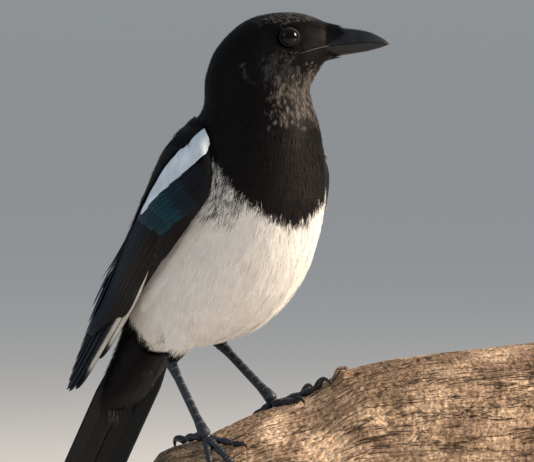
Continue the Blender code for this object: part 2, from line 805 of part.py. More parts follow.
def wing_vane(surface, tier, root, tip, width):
    """A feather of the wing, from its root within the core."""
    top, bottom = [], []
    for s in stations(root[0], tip[0]):
        u = (s - root[0]) / (tip[0] - root[0])
        middle = root[1] + (tip[1] - root[1]) * u
        reach = width / 2 * curve(VANE_OUTLINE, u)
        half = VANE_THICK / 2 * (0.7 if s == tip[0] else 1.0)
        for grid, side in ((top, half), (bottom, -half)):
            row = []
            for across in (-reach, 0.0, reach):
                t = middle + across / surface.span(s)
                lift = curve(tier["height"], s) - tier["tilt"] * across
                if s == root[0]:
                    lift = core_top(s, t) / 2
                elif tier["dips"]:
                    lift = max(VANE_LEAST, lift - edge_dip(s, t))
                row.append(surface.at(s, t, lift + side))
            grid.append(row)
    return plate("vane", "wing_plumage", top, bottom)


def wing_core(name, surface, steps=12, sides=14):
    rings = []
    for i in range(steps):
        s = WING_PLACES[0] + (CORE_END - WING_PLACES[0]) * i / (steps - 1)
        spread = curve(CORE_SPREAD, s)
        ring = []
        for j in range(sides):
            angle = 2 * math.pi * j / sides
            t = 0.5 - spread * math.cos(angle)
            full = core_top(s, t)
            rise = abs(math.sin(angle)) ** 0.5
            lift = full * (0.35 + 0.65 * rise) if j <= sides // 2 else full * 0.35 * (1 - rise)
            ring.append(surface.at(s, t, lift))
        rings.append(ring)
    return loft(name, "wing_plumage", rings)


def build_wing(name, hand, body):
    surface = WingSurface(hand, body)
    vanes = [
        wing_vane(surface, tier, *feather)
        for tier in WING_TIERS.values()
        for feather in tier["feathers"]
    ]
    wing = wing_core(f"wing_{name}", surface)
    combine(wing, vanes, "UNION", "MANIFOLD")
    combine(wing, [copy_of(body, f"body_for_wing_{name}", GAP + 0.05)], "DIFFERENCE", "MANIFOLD")


# The tail: a core of covert feathers, and twelve long feathers in graded pairs. Each pair lies under
# the one before it, and only the middle pair crosses.

# Distance along it, half width, depth over and under the middle line
TAIL_CORE = ((-12, 15.0, 9.0, 9.0), (10, 15.5, 8.0, 8.0), (30, 15.5, 6.6, 5.0), (44, 14.0, 5.6, 2.2))
TAIL_SQUARENESS = (2.4, 2.4)
TAIL_FEATHERS = (
    {"length": 240.0, "width": 27.0},
    {"length": 225.0, "width": 17.0},
    {"length": 205.0, "width": 18.2},
    {"length": 180.0, "width": 19.2},
    {"length": 155.0, "width": 20.0},
    {"length": 125.0, "width": 21.2},
)
TAIL_OUTLINE = ((0.0, 0.62), (0.3, 0.92), (0.5, 1.0), (0.8, 0.97), (0.94, 0.74), (1.0, 0.25))
TAIL_ROOT_AT = 14.0
TAIL_LAYER = 0.88
TAIL_TOP = 5.0
TAIL_CAMBER = 300.0
TAIL_SPLIT = 0.2


def tail_axes():
    pitch = math.radians(TAIL_PITCH)
    along = Vector((-math.cos(pitch), 0.0, -math.sin(pitch)))
    up = Vector((-math.sin(pitch), 0.0, math.cos(pitch)))
    return along, up


def on_tail(along_by, left, height):
    along, up = tail_axes()
    return along * along_by + Vector((0, left, 0)) + up * (height - left * left / TAIL_CAMBER)


def tail_vane(feather, middle, height):
    top, bottom = [], []
    for u in (0.0, 0.3, 0.55, 0.8, 0.94, 1.0):
        at = TAIL_ROOT_AT + (feather["length"] - TAIL_ROOT_AT) * u
        reach = feather["width"] / 2 * curve(TAIL_OUTLINE, u)
        half = VANE_THICK / 2 * (0.7 if u == 1.0 else 1.0)
        for grid, side in ((top, half), (bottom, -half)):
            grid.append([on_tail(at, middle + across, height + side) for across in (-reach, 0.0, reach)])
    return plate("vane", "wing_plumage", top, bottom)


def build_tail(body):
    rings = []
    for at, wide, over, under in TAIL_CORE:
        centre = on_tail(at, 0.0, 0.0)
        rings.append(section(centre, Vector((0, 1, 0)), tail_axes()[1], wide, over, under, TAIL_SQUARENESS, 16))
    tail = loft("tail", "wing_plumage", rings)
    vanes = []
    for number, feather in enumerate(TAIL_FEATHERS):
        for hand in (-1.0, 1.0):
            if number == 0:
                middle, height = hand * 1.2, TAIL_TOP - (TAIL_LAYER if hand > 0 else 0.0)
            else:
                middle = hand * (TAIL_SPLIT + feather["width"] / 2)
                height = TAIL_TOP - TAIL_LAYER * (number + 1)
            vanes.append(tail_vane(feather, middle, height))
    combine(tail, vanes, "UNION", "MANIFOLD")
    combine(tail, [copy_of(body, "body_for_tail", GAP + 0.05)], "DIFFERENCE", "MANIFOLD")


# The stand: a round base and two rods that end in the log


def disc_rings(centre, profile, sides):
    return [
        section(centre + Vector((0, 0, height)), Vector((1, 0, 0)), Vector((0, 1, 0)), r, r, r, ROUND, sides)
        for r, height in profile
    ]


def build_stand(log):
    centre = -TAIL_ROOT
    edge = 2.0
    profile = (
        (BASE_RADIUS - edge, 0.0),
        (BASE_RADIUS, edge),
        (BASE_RADIUS, BASE_HEIGHT - edge),
        (BASE_RADIUS - edge, BASE_HEIGHT),
    )
    loft("stand_base", "stand_wood", disc_rings(centre, profile, 48))
    sockets = []
    along, _ = log_axes()
    for name, at in (("near", 4.0), ("far", 92.0)):
        middle = log_centre(at)
        foot = Vector((middle.x, middle.y, centre.z))
        bottom = BASE_HEIGHT + GAP
        under = middle.z - curve(LOG_RADIUS, at) - centre.z
        rod_profile = (
            (COLLAR_RADIUS, bottom),
            (COLLAR_RADIUS, bottom + COLLAR_HEIGHT),
            (ROD_RADIUS, bottom + COLLAR_HEIGHT),
            (ROD_RADIUS, under + ROD_SINK),
        )
        loft(f"stand_rod_{name}", "stand_metal", disc_rings(foot, rod_profile, 20))
        hole = ((ROD_RADIUS + GAP, under - 12.0), (ROD_RADIUS + GAP, under + ROD_SINK + GAP))
        sockets.append(loft(f"rod_hole_{name}", "log_wood", disc_rings(foot, hole, 20)))
    combine(log, sockets, "DIFFERENCE")


def main():
    clear_scene()
    body = build_body()
    build_bill()
    log = build_log()
    ground = Ground(log)
    build_legs(ground, body)
    build_wing("right", -1.0, body)
    build_wing("left", 1.0, body)
    build_tail(body)
    build_stand(log)
    bpy.data.objects.remove(body)


main()
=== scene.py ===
import math

import bpy
import numpy as np
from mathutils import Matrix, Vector, noise
from mathutils.bvhtree import BVHTree


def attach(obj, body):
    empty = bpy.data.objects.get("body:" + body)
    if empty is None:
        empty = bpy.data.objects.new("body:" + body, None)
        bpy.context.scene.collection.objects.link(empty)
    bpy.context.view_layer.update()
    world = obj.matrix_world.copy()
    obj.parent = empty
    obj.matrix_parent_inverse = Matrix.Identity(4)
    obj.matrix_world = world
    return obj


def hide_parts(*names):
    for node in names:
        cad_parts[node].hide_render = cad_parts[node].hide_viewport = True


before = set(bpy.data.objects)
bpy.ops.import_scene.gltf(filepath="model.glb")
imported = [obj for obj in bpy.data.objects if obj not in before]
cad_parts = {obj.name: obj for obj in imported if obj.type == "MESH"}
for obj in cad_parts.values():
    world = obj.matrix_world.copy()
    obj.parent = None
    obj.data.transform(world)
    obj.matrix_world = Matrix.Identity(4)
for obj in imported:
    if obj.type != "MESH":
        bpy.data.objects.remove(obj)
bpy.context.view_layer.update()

# Lengths are millimetres in the bird's own frame, and metres once a mesh is made.
# Bird frame: origin where the tail leaves the body, x the way the body faces, y its left, z up.
mm = 0.001
tailRoot = np.array([-84.0, -24.0, 218.0])
rng = np.random.default_rng(11)


# General helpers

def toRow(points):
    return (np.asarray(points, dtype=float) + tailRoot) * mm


def toBird(points):
    return np.asarray(points, dtype=float) / mm - tailRoot


def unit(vectors):
    vectors = np.asarray(vectors, dtype=float)
    return vectors / np.maximum(np.linalg.norm(vectors, axis=-1, keepdims=True), 1e-9)


def mix(a, b, amount):
    amount = np.asarray(amount)[..., None]
    return np.asarray(a) * (1 - amount) + np.asarray(b) * amount


def smoothStep(low, high, value):
    t = np.clip((np.asarray(value, dtype=float) - low) / (high - low), 0, 1)
    return t * t * (3 - 2 * t)


def curve(stops, at):
    # smooth curve through (place, value) stops, level past its ends
    places = np.array([stop[0] for stop in stops], dtype=float)
    values = np.array([stop[1] for stop in stops], dtype=float)
    slopes = np.gradient(values, places) if len(stops) < 3 else np.empty(len(stops))
    if len(stops) > 2:
        slopes[1:-1] = (values[2:] - values[:-2]) / (places[2:] - places[:-2])
        slopes[0] = (values[1] - values[0]) / (places[1] - places[0])
        slopes[-1] = (values[-1] - values[-2]) / (places[-1] - places[-2])
    at = np.clip(np.asarray(at, dtype=float), places[0], places[-1])
    i = np.clip(np.searchsorted(places, at, side="right") - 1, 0, len(stops) - 2)
    width = places[i + 1] - places[i]
    t = (at - places[i]) / width
    return (
        (2 * t**3 - 3 * t**2 + 1) * values[i]
        + (t**3 - 2 * t**2 + t) * width * slopes[i]
        + (3 * t**2 - 2 * t**3) * values[i + 1]
        + (t**3 - t**2) * width * slopes[i + 1]
    )


def fractal(points, scale, octaves=3, seed=0.0):
    # smooth noise from -1 to 1 at each point, in cells of scale millimetres
    shift = Vector((seed, seed * 1.7, -seed * 0.6))
    return np.array([noise.fractal(Vector(p) / scale + shift, 1.0, 2.0, octaves) for p in points])


def deselectAll():
    bpy.ops.object.select_all(action="DESELECT")


def makeActive(piece):
    deselectAll()
    piece.select_set(True)
    bpy.context.view_layer.objects.active = piece


def finishModifiers(piece):
    makeActive(piece)
    for modifier in list(piece.modifiers):
        bpy.ops.object.modifier_apply(modifier=modifier.name)


def paintPiece(piece, tint):
    # one colour for each point of the piece, in its attribute "tint"
    layer = piece.data.color_attributes.new(name="tint", type="FLOAT_COLOR", domain="POINT")
    rgba = np.concatenate([np.clip(tint, 0, 1), np.ones((len(tint), 1))], axis=1)
    layer.data.foreach_set("color", rgba.astype(np.float32).ravel())


def arrayPiece(name, points, faces, material, tint=None, uvs=None, normals=None):
    # one mesh from arrays: points in the bird's frame, and faces that all have as many corners
    faces = np.asarray(faces)
    mesh = bpy.data.meshes.new(name)
    mesh.vertices.add(len(points))
    mesh.vertices.foreach_set("co", toRow(points).astype(np.float32).ravel())
    mesh.loops.add(faces.size)
    mesh.loops.foreach_set("vertex_index", faces.astype(np.int32).ravel())
    mesh.polygons.add(len(faces))
    mesh.polygons.foreach_set("loop_start", np.arange(0, faces.size, faces.shape[1], dtype=np.int32))
    mesh.update(calc_edges=True)
    mesh.shade_smooth()
    for uvName, uv in (uvs or {}).items():
        layer = mesh.uv_layers.new(name=uvName)
        layer.data.foreach_set("uv", np.asarray(uv)[faces.ravel()].astype(np.float32).ravel())
    mesh.materials.append(material)
    piece = bpy.data.objects.new(name, mesh)
    bpy.context.scene.collection.objects.link(piece)
    if tint is not None:
        paintPiece(piece, tint)
    if normals is not None:
        layer = mesh.attributes.new("custom_normal", "FLOAT_VECTOR", "POINT")
        layer.data.foreach_set("vector", np.asarray(normals).astype(np.float32).ravel())
    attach(piece, "root")
    return piece


def gridPiece(name, rings, material, tint=None, wrap=True, capped=True):
    # a primitive grid laid over rings of equal count, wrapped round, with its ends closed
    rings = np.asarray(rings, dtype=float)
    rows, columns = rings.shape[:2]
    if wrap:
        rings = np.concatenate([rings, rings[:, :1]], axis=1)
    deselectAll()
    bpy.ops.mesh.primitive_grid_add(x_subdivisions=rings.shape[1] - 1, y_subdivisions=rows - 1, size=1)
    piece = bpy.context.active_object
    piece.name = piece.data.name = name
    piece.data.vertices.foreach_set("co", toRow(rings).astype(np.float32).ravel())
    if tint is not None:
        tint = np.asarray(tint, dtype=float)
        paintPiece(piece, (np.concatenate([tint, tint[:, :1]], axis=1) if wrap else tint).reshape(-1, 3))
    bpy.ops.object.mode_set(mode="EDIT")
    bpy.ops.mesh.select_all(action="SELECT")
    bpy.ops.mesh.remove_doubles(threshold=1e-6)
    if capped:
        bpy.ops.mesh.select_all(action="DESELECT")
        bpy.ops.mesh.select_non_manifold(extend=False, use_wire=False, use_multi_face=False,
                                         use_non_contiguous=False, use_verts=False)
        bpy.ops.mesh.edge_face_add()
        bpy.ops.mesh.select_all(action="SELECT")
    bpy.ops.mesh.normals_make_consistent(inside=False)
    bpy.ops.object.mode_set(mode="OBJECT")
    piece.data.shade_smooth()
    piece.data.materials.clear()
    piece.data.materials.append(material)
    return piece


def ringAt(centre, side, up, wide, high, count, turn=0.0, power=2.0):
    angle = 2 * np.pi * np.arange(count) / count + turn
    c, s = np.cos(angle), np.sin(angle)
    c = np.sign(c) * np.abs(c) ** (2 / power)
    s = np.sign(s) * np.abs(s) ** (2 / power)
    return np.asarray(centre) + np.outer(c * wide, side) + np.outer(s * high, up)


# Materials

def newMaterial(name, **sockets):
    material = bpy.data.materials.new(name)
    material.use_nodes = True
    shader = material.node_tree.nodes["Principled BSDF"]
    for socket, value in sockets.items():
        shader.inputs[socket.replace("_", " ")].default_value = value
    return material


def node(material, kind, links=None, **values):
    made = material.node_tree.nodes.new(kind)
    for key, value in values.items():
        if hasattr(made, key):
            setattr(made, key, value)
        else:
            made.inputs[key.replace("_", " ")].default_value = value
    for socket, source in (links or {}).items():
        key = int(socket[1:]) if socket[0] == "#" else socket.replace("_", " ")
        material.node_tree.links.new(source, made.inputs[key])
    return made


def connect(material, source, socket):
    shader = material.node_tree.nodes["Principled BSDF"]
    material.node_tree.links.new(source, shader.inputs[socket])


def ramp(material, source, stops):
    made = node(material, "ShaderNodeValToRGB", {"Fac": source})
    while len(made.color_ramp.elements) < len(stops):
        made.color_ramp.elements.new(0.5)
    for element, (place, colour) in zip(made.color_ramp.elements, stops):
        element.position = place
        element.color = (*colour, 1) if len(colour) == 3 else colour
    return made.outputs["Color"]


def objectPlace(material, scale=(1, 1, 1), turn=(0, 0, 0)):
    where = node(material, "ShaderNodeTexCoord").outputs["Object"]
    mapped = node(material, "ShaderNodeMapping", {"Vector": where})
    mapped.inputs["Scale"].default_value = scale
    mapped.inputs["Rotation"].default_value = turn
    return mapped.outputs["Vector"]


def bump(material, height, distance, strength=1.0):
    made = node(material, "ShaderNodeBump", {"Height": height}, Distance=distance, Strength=strength)
    connect(material, made.outputs["Normal"], "Normal")


def tintedMaterial(name, wobble, wobbleScale, **sockets):
    # the piece's own tint, a little lighter and darker from place to place
    material = newMaterial(name, **sockets)
    tint = node(material, "ShaderNodeAttribute", attribute_name="tint").outputs["Color"]
    patch = node(material, "ShaderNodeTexNoise", {"Vector": objectPlace(material)}, Scale=wobbleScale, Detail=3.0)
    shade = ramp(material, patch.outputs["Fac"], ((0.3, (1 - wobble,) * 3), (0.7, (1 + wobble,) * 3)))
    blend = node(material, "ShaderNodeMix", {"#6": tint, "#7": shade}, data_type="RGBA", blend_type="MULTIPLY")
    blend.inputs["Factor"].default_value = 1.0
    connect(material, blend.outputs[2], "Base Color")
    return material


whiteCoat = tintedMaterial("whiteCoat", 0.04, 160.0, Roughness=0.8, Specular_IOR_Level=0.3, Sheen_Weight=0.15,
                           Sheen_Roughness=0.5)
blackCoat = tintedMaterial("blackCoat", 0.25, 420.0, Roughness=0.52, Specular_IOR_Level=0.10)
skinMaterial = tintedMaterial("plumageSkin", 0.06, 300.0, Roughness=0.9, Specular_IOR_Level=0.1)


# The head's own frame: ahead along the bill, left, and up
head = {"at": np.array([96.0, 12.5, 152.0]), "yaw": 48.0, "pitch": 3.0}
headYaw, headPitch = math.radians(head["yaw"]), math.radians(head["pitch"])
headAhead = np.array([
    math.cos(headYaw) * math.cos(headPitch), math.sin(headYaw) * math.cos(headPitch), math.sin(headPitch),
])
headLeft = np.array([-math.sin(headYaw), math.cos(headYaw), 0.0])
headUp = np.cross(headAhead, headLeft)


def onHead(ahead, left, up):
    ahead, left, up = (np.asarray(v, dtype=float)[..., None] for v in (ahead, left, up))
    return head["at"] + headAhead * ahead + headLeft * left + headUp * up


def inHead(points):
    rel = np.asarray(points) - head["at"]
    return rel @ headAhead, rel @ headLeft, rel @ headUp


# Skin: the flesh nodes as one surface, inside their outline by the depth of the coat

skin = {
    "nodes": ("head", "neck", "torso", "thigh_left", "thigh_right"),
    "voxel": 1.3,
    "axis": ((34, 0, -3), (4, 0, 4), (-16, 0, -2)),  # in the head's frame, then the body's below
    "bodyAxis": ((88, 6, 118), (84, 2, 100), (74, 0, 74), (56, 0, 48), (30, 0, 22), (0, 0, 0), (-22, 0, -30)),
    "depth": ((0.0, 0.5), (0.10, 0.9), (0.25, 1.2), (0.45, 1.9), (0.7, 2.2), (1.0, 2.0)),
    # centre, reach and height of each swelling of the plumage
    "swells": (((112, 22, 103), 15.0, 2.6),),
}
axisPoints = np.concatenate([[onHead(*p) for p in skin["axis"]], np.array(skin["bodyAxis"], dtype=float)])
axisSteps = np.linalg.norm(np.diff(axisPoints, axis=0), axis=1)
axisPlaces = np.concatenate([[0], np.cumsum(axisSteps)]) / axisSteps.sum()


def axisFlow(points):
    # the body's lie at each point, and its place from bill (0) to tail (1)
    starts, ends = axisPoints[:-1], axisPoints[1:]
    way = ends - starts
    rel = points[:, None] - starts[None]
    part = np.clip((rel * way).sum(-1) / (way * way).sum(-1), 0, 1)
    gap = np.linalg.norm(rel - part[..., None] * way, axis=-1)
    weight = np.exp(-(gap - gap.min(1, keepdims=True)) / 7.0)
    weight /= weight.sum(1, keepdims=True)
    place = axisPlaces[:-1] + part * (axisPlaces[1:] - axisPlaces[:-1])
    return unit((weight[..., None] * unit(way)).sum(1)), (weight * place).sum(1)


def skinUnwrap(points):
    # place on an unwrap of the skin: round the body's axis, and along it
    flow, place = axisFlow(points)
    centre = np.stack([np.interp(place, axisPlaces, axisPoints[:, k]) for k in range(3)], axis=1)
    out = points - centre
    out -= flow * (out * flow).sum(1, keepdims=True)
    side = np.array([0.0, 1.0, 0.0]) - flow * flow[:, 1:2]
    side = unit(side)
    up = np.cross(side, flow)
    angle = np.arctan2((out * side).sum(1), (out * up).sum(1))
    return np.stack([0.02 + 0.96 * (angle / (2 * np.pi) + 0.5), 0.02 + 0.96 * place], axis=1)


def buildSkin():
    deselectAll()
    copies = []
    for name in skin["nodes"]:
        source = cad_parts[name]
        copied = bpy.data.objects.new(f"skin_{name}", source.data.copy())
        bpy.context.scene.collection.objects.link(copied)
        copies.append(copied)
    for copied in copies:
        copied.select_set(True)
    bpy.context.view_layer.objects.active = copies[0]
    bpy.ops.object.join()
    piece = bpy.context.active_object
    piece.name = piece.data.name = "bird_skin"
    bpy.ops.object.mode_set(mode="EDIT")
    bpy.ops.mesh.select_all(action="SELECT")
    bpy.ops.mesh.remove_doubles(threshold=1e-6)
    bpy.ops.object.mode_set(mode="OBJECT")
    remesh = piece.modifiers.new("remesh", "REMESH")
    remesh.mode = "VOXEL"
    remesh.voxel_size = skin["voxel"] * mm
    smooth = piece.modifiers.new("smooth", "SMOOTH")
    smooth.factor, smooth.iterations = 0.5, 9
    finishModifiers(piece)
    mesh = piece.data
    mesh.shade_smooth()
    points = np.empty(len(mesh.vertices) * 3, dtype=np.float32)
    normals = np.empty_like(points)
    mesh.vertices.foreach_get("co", points)
    mesh.vertex_normals.foreach_get("vector", normals)
    points, normals = toBird(points.reshape(-1, 3)), normals.reshape(-1, 3).astype(float)
    _, place = axisFlow(points)
    points = points - normals * curve(skin["depth"], place)[:, None]
    for centre, reach, height in skin["swells"]:
        near = np.exp(-(np.linalg.norm(points - np.array(centre), axis=1) / reach) ** 2)
        points = points + normals * (near * height)[:, None]
    mesh.vertices.foreach_set("co", toRow(points).astype(np.float32).ravel())
    mesh.update()
    mesh.calc_loop_triangles()
    triangles = np.empty(len(mesh.loop_triangles) * 3, dtype=np.int32)
    mesh.loop_triangles.foreach_get("vertices", triangles)
    mesh.materials.clear()
    mesh.materials.append(skinMaterial)
    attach(piece, "root")
    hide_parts(*skin["nodes"])
    return piece, points, normals, triangles.reshape(-1, 3)


# Markings: what colour the plumage has at each point

marks = {
    "bibEdge": ((0, 60.5), (4, 61.5), (11, 64.0), (18, 68.5), (24, 72.5), (29, 79.0), (32, 88.0), (33.6, 99.0),
                (35, 105.0), (37, 112.0)),
    "ventEdge": ((0, 12.0), (12, 17.0), (19, 20.5), (25, 22.0), (40, 23.0)),
    "heels": ((40.0, -19.0, -15.0), (33.0, 19.0, -8.0)),
    "shank": 15.0,
    "white": (0.86, 0.84, 0.80),
    "black": (0.0036, 0.0036, 0.0044),
    "brownBlack": (0.0075, 0.0060, 0.0054),
    "paleStreak": (0.19, 0.168, 0.145),
    # also the painted highlight of pale glints along the brow, and the pale flecks of the ear spot and the bristles
    "paleGlintAndFleck": (0.12, 0.11, 0.10),
    "greyStreak": (0.055, 0.055, 0.058),
    "darkStripe": (0.045, 0.040, 0.036),
}


def whiteness(points, ragged=1.6):
    # 1 where the body is white, 0 where it is black, with a ragged edge
    points = np.asarray(points)
    wobble = rng.normal(0, ragged, len(points))
    x, y, z = points[:, 0], points[:, 1], points[:, 2]
    bib = z - np.interp(np.abs(y), *zip(*marks["bibEdge"])) + wobble
    vent = np.interp(np.abs(y), *zip(*marks["ventEdge"])) - np.maximum(0, z - 3) * 0.85 - x + wobble
    flow, place = axisFlow(points)
    centre = np.stack([np.interp(place, axisPlaces, axisPoints[:, k]) for k in range(3)], axis=1)
    up = np.cross(unit(np.array([0.0, 1.0, 0.0]) - flow * flow[:, 1:2]), flow)
    dorsal = ((points - centre) * up).sum(1) - 8.0 + wobble
    dorsal = np.where(place > 0.45, -dorsal if (up[:, 2].mean() < 0) else dorsal, -50)
    heel = np.min([np.linalg.norm(points - np.array(h), axis=1) for h in marks["heels"]], axis=0)
    shank = marks["shank"] - heel + wobble * 0.8
    black = np.maximum.reduce([bib, vent, dorsal, shank])
    return 1 - smoothStep(-0.6, 0.6, black)


def bodyTint(points, ragged=1.6):
    # colour of each root, with the pale streaks of throat and shoulder, and along the brow pale glints that are a
    # painted highlight
    count = len(points)
    white = whiteness(points, ragged)
    ahead, left, up = inHead(points)
    warm = smoothStep(60, 110, points[:, 0])
    black = mix(marks["black"], marks["brownBlack"], warm * 0.8)
    chance = rng.random(count)
    # the throat's pale shafts run down it in wavy lines
    wave = np.sin(skinUnwrap(points)[:, 0] * 340 + 3.0 * fractal(points, 9.0, 2, 5.0))
    throat = smoothStep(-46, -32, up) * smoothStep(-11, -19, up) * smoothStep(-14, -3, ahead)
    # painted highlight: on the brow, where the face turns up to the light, blades are painted pale as glints
    brow = smoothStep(6.0, 8.0, up) * smoothStep(13.5, 10.5, up) * smoothStep(-17, -4, ahead) * smoothStep(19, 13, ahead)
    cheek = smoothStep(-16, -9, ahead) * smoothStep(9, 2, ahead) * smoothStep(-26, -18, up) * smoothStep(-5, -9, up)
    earSpot = np.hypot(ahead + 22.0, up + 11.7) < 1.1
    earArc = np.abs(np.hypot(ahead + 10.0, up + 9.5) - 12.5) < 1.0
    earArc &= (ahead < -9) & (up < -11)
    black = np.where((chance < (0.20 + 0.45 * (wave > 0.35)) * throat)[:, None], marks["paleStreak"], black)
    # painted highlight: pale glints on the brow
    black = np.where((chance < 0.34 * brow)[:, None], marks["paleGlintAndFleck"], black)
    black = np.where((chance < 0.30 * cheek)[:, None], marks["greyStreak"], black)
    black = np.where((chance < 0.60 * earSpot)[:, None], marks["paleGlintAndFleck"], black)
    black = np.where((chance < 0.30 * earArc)[:, None], marks["greyStreak"], black)
    colour = mix(black, marks["white"], white)
    bend = np.linalg.norm((np.abs(points) - np.array([99.0, 34.0, 84.0])) * (1, 1, 0.7), axis=1)
    stripe = smoothStep(19, 10, bend) * white
    colour = np.where((chance < 0.5 * stripe)[:, None], marks["darkStripe"], colour)
    return colour * (1 + rng.normal(0, 0.04, count))[:, None]


def tintSkin(piece, points):
    paintPiece(piece, mix(marks["black"], np.array(marks["white"]) * 0.95, whiteness(points, 0.01)))


# Coat: tufts of narrow blades, rooted in the skin and laid along the body

coat = {
    "mostTriangles": 190000,
    "regions": {
        # from and to along the axis, tufts per mm2, blades a tuft, length, blade width, spread, lift
        "face": {"from": 0.0, "to": 0.16, "tufts": 2.3, "blades": 6, "length": 2.6, "width": 0.20, "lift": 0.6},
        "head": {"from": 0.16, "to": 0.34, "tufts": 1.3, "blades": 8, "length": 5.0, "width": 0.20, "lift": 0.9},
        "neck": {"from": 0.34, "to": 0.50, "tufts": 0.75, "blades": 8, "length": 7.8, "width": 0.32, "lift": 1.4},
        "belly": {"from": 0.50, "to": 1.01, "tufts": 0.52, "blades": 10, "length": 12.0, "width": 0.32, "lift": 2.0},
    },
}


def scatter(points, normals, triangles, density):
    # roots spread over the skin at a density per square millimetre for each triangle
    corners = points[triangles]
    area = np.linalg.norm(np.cross(corners[:, 1] - corners[:, 0], corners[:, 2] - corners[:, 0]), axis=1) / 2
    counts = np.floor(area * density + rng.random(len(area))).astype(int)
    chosen = np.repeat(np.arange(len(triangles)), counts)
    root, share = np.sqrt(rng.random(len(chosen))), rng.random(len(chosen))
    weights = np.stack([1 - root, root * (1 - share), root * share], axis=1)[..., None]
    places = (points[triangles[chosen]] * weights).sum(1)
    return places, unit((normals[triangles[chosen]] * weights).sum(1))


def surfaceDrop(tree, roots, ways, normals, lengths):
    # how far the surface falls away from a straight line of that length
    drops = np.zeros(len(roots))
    for i, (root, way, normal, length) in enumerate(zip(roots, ways, normals, lengths)):
        end = root + way * length
        hit = tree.find_nearest(Vector(toRow(end)))[0]
        if hit is not None:
            drops[i] = (toBird(hit) - end) @ normal
    return np.clip(drops, -0.5 * lengths, 0.3 * lengths)


def layTufts(name, material, roots, normals, ways, drops, lengths, widths, lifts, blades, tint, tipShade, fan,
             bends=2, clump=0.6, tangle=0.16):
    # joined blades; all the arguments from roots to lifts are given for each tuft
    count = len(roots)
    sides = np.cross(ways, normals)
    spot = np.linspace(-1, 1, blades)[None] + rng.normal(0, 0.12, (count, blades))
    reach = lengths[:, None] * (1 - 0.22 * spot**2) * rng.uniform(0.72, 1.1, (count, blades))
    turn = spot * fan + rng.normal(0, 0.10, (count, blades))
    way = ways[:, None] * np.cos(turn)[..., None] + sides[:, None] * np.sin(turn)[..., None]
    roll = rng.normal(0, tangle, (count, blades))
    across = np.cross(way, normals[:, None])
    across = across * np.cos(roll)[..., None] + normals[:, None] * np.sin(roll)[..., None]
    start = roots[:, None] + sides[:, None] * (spot * lengths[:, None] * 0.09)[..., None]
    start = start + ways[:, None] * (rng.uniform(-0.15, 0.15, (count, blades)) * lengths[:, None])[..., None]
    up = normals[:, None]
    lift = lifts[:, None] * rng.uniform(0.55, 1.15, (count, blades))
    levels = []
    for k in range(bends + 1):
        tau = k / bends
        rise = lift * (tau**0.55) - 0.35 * (1 - tau) + drops[:, None] * tau**2
        middle = start + way * (reach * tau)[..., None] + up * rise[..., None]
        middle = middle - sides[:, None] * (spot * lengths[:, None] * 0.09 * clump * tau)[..., None]
        half = widths[:, None, None] / 2 * (1.0, 0.85, 0.6)[min(k, 2)] if k < bends else 0.0
        if k < bends:
            levels += [middle - across * half, middle + across * half]
        else:
            levels.append(middle)
    points = np.stack(levels, axis=2)
    corners = points.shape[2]
    total = count * blades
    shape = []
    for k in range(bends - 1):
        a = 2 * k
        shape += [(a, a + 1, a + 3), (a, a + 3, a + 2)]
    shape.append((corners - 3, corners - 2, corners - 1))
    faces = (np.arange(total)[:, None, None] * corners + np.array(shape)[None]).reshape(-1, 3)
    bladeTint = tint[:, None] * rng.uniform(0.92, 1.06, (count, blades, 1))
    fade = np.array([0.0] * 2 + [0.55] * (corners - 3) + [1.0])
    colours = bladeTint[:, :, None] * (1 + (tipShade - 1) * fade)[None, None, :, None]
    unwrap = skinUnwrap(roots)
    patch = np.stack([
        np.concatenate([np.tile([-1.0, 1.0], (corners - 1) // 2), [0.0]]) * 0.0006,
        np.concatenate([np.repeat(np.arange((corners - 1) // 2) / bends, 2), [1.0]]) * 0.003,
    ], axis=1)
    uv = unwrap[:, None, None] + patch[None, None]
    uv = uv + np.stack([spot * 0.0009, spot * 0], axis=-1)[:, :, None]
    # every blade is shaded as the body under it is, so that the coat looks smooth
    facing = np.broadcast_to(unit(normals)[:, None, None], points.shape) + (across * 0.12)[:, :, None]
    points, colours, uv = points.reshape(-1, 3), colours.reshape(-1, 3), uv.reshape(-1, 2)
    facing = unit(facing).reshape(-1, 3)
    perPiece = coat["mostTriangles"] // len(shape)
    made = []
    for number, first in enumerate(range(0, total, perPiece)):
        last = min(total, first + perPiece)
        cut = slice(first * corners, last * corners)
        some = faces[first * len(shape):last * len(shape)] - first * corners
        piece = arrayPiece(f"{name}_{number}", points[cut], some, material, colours[cut], {"OFBake": uv[cut]},
                           facing[cut])
        made.append(piece)
    return made


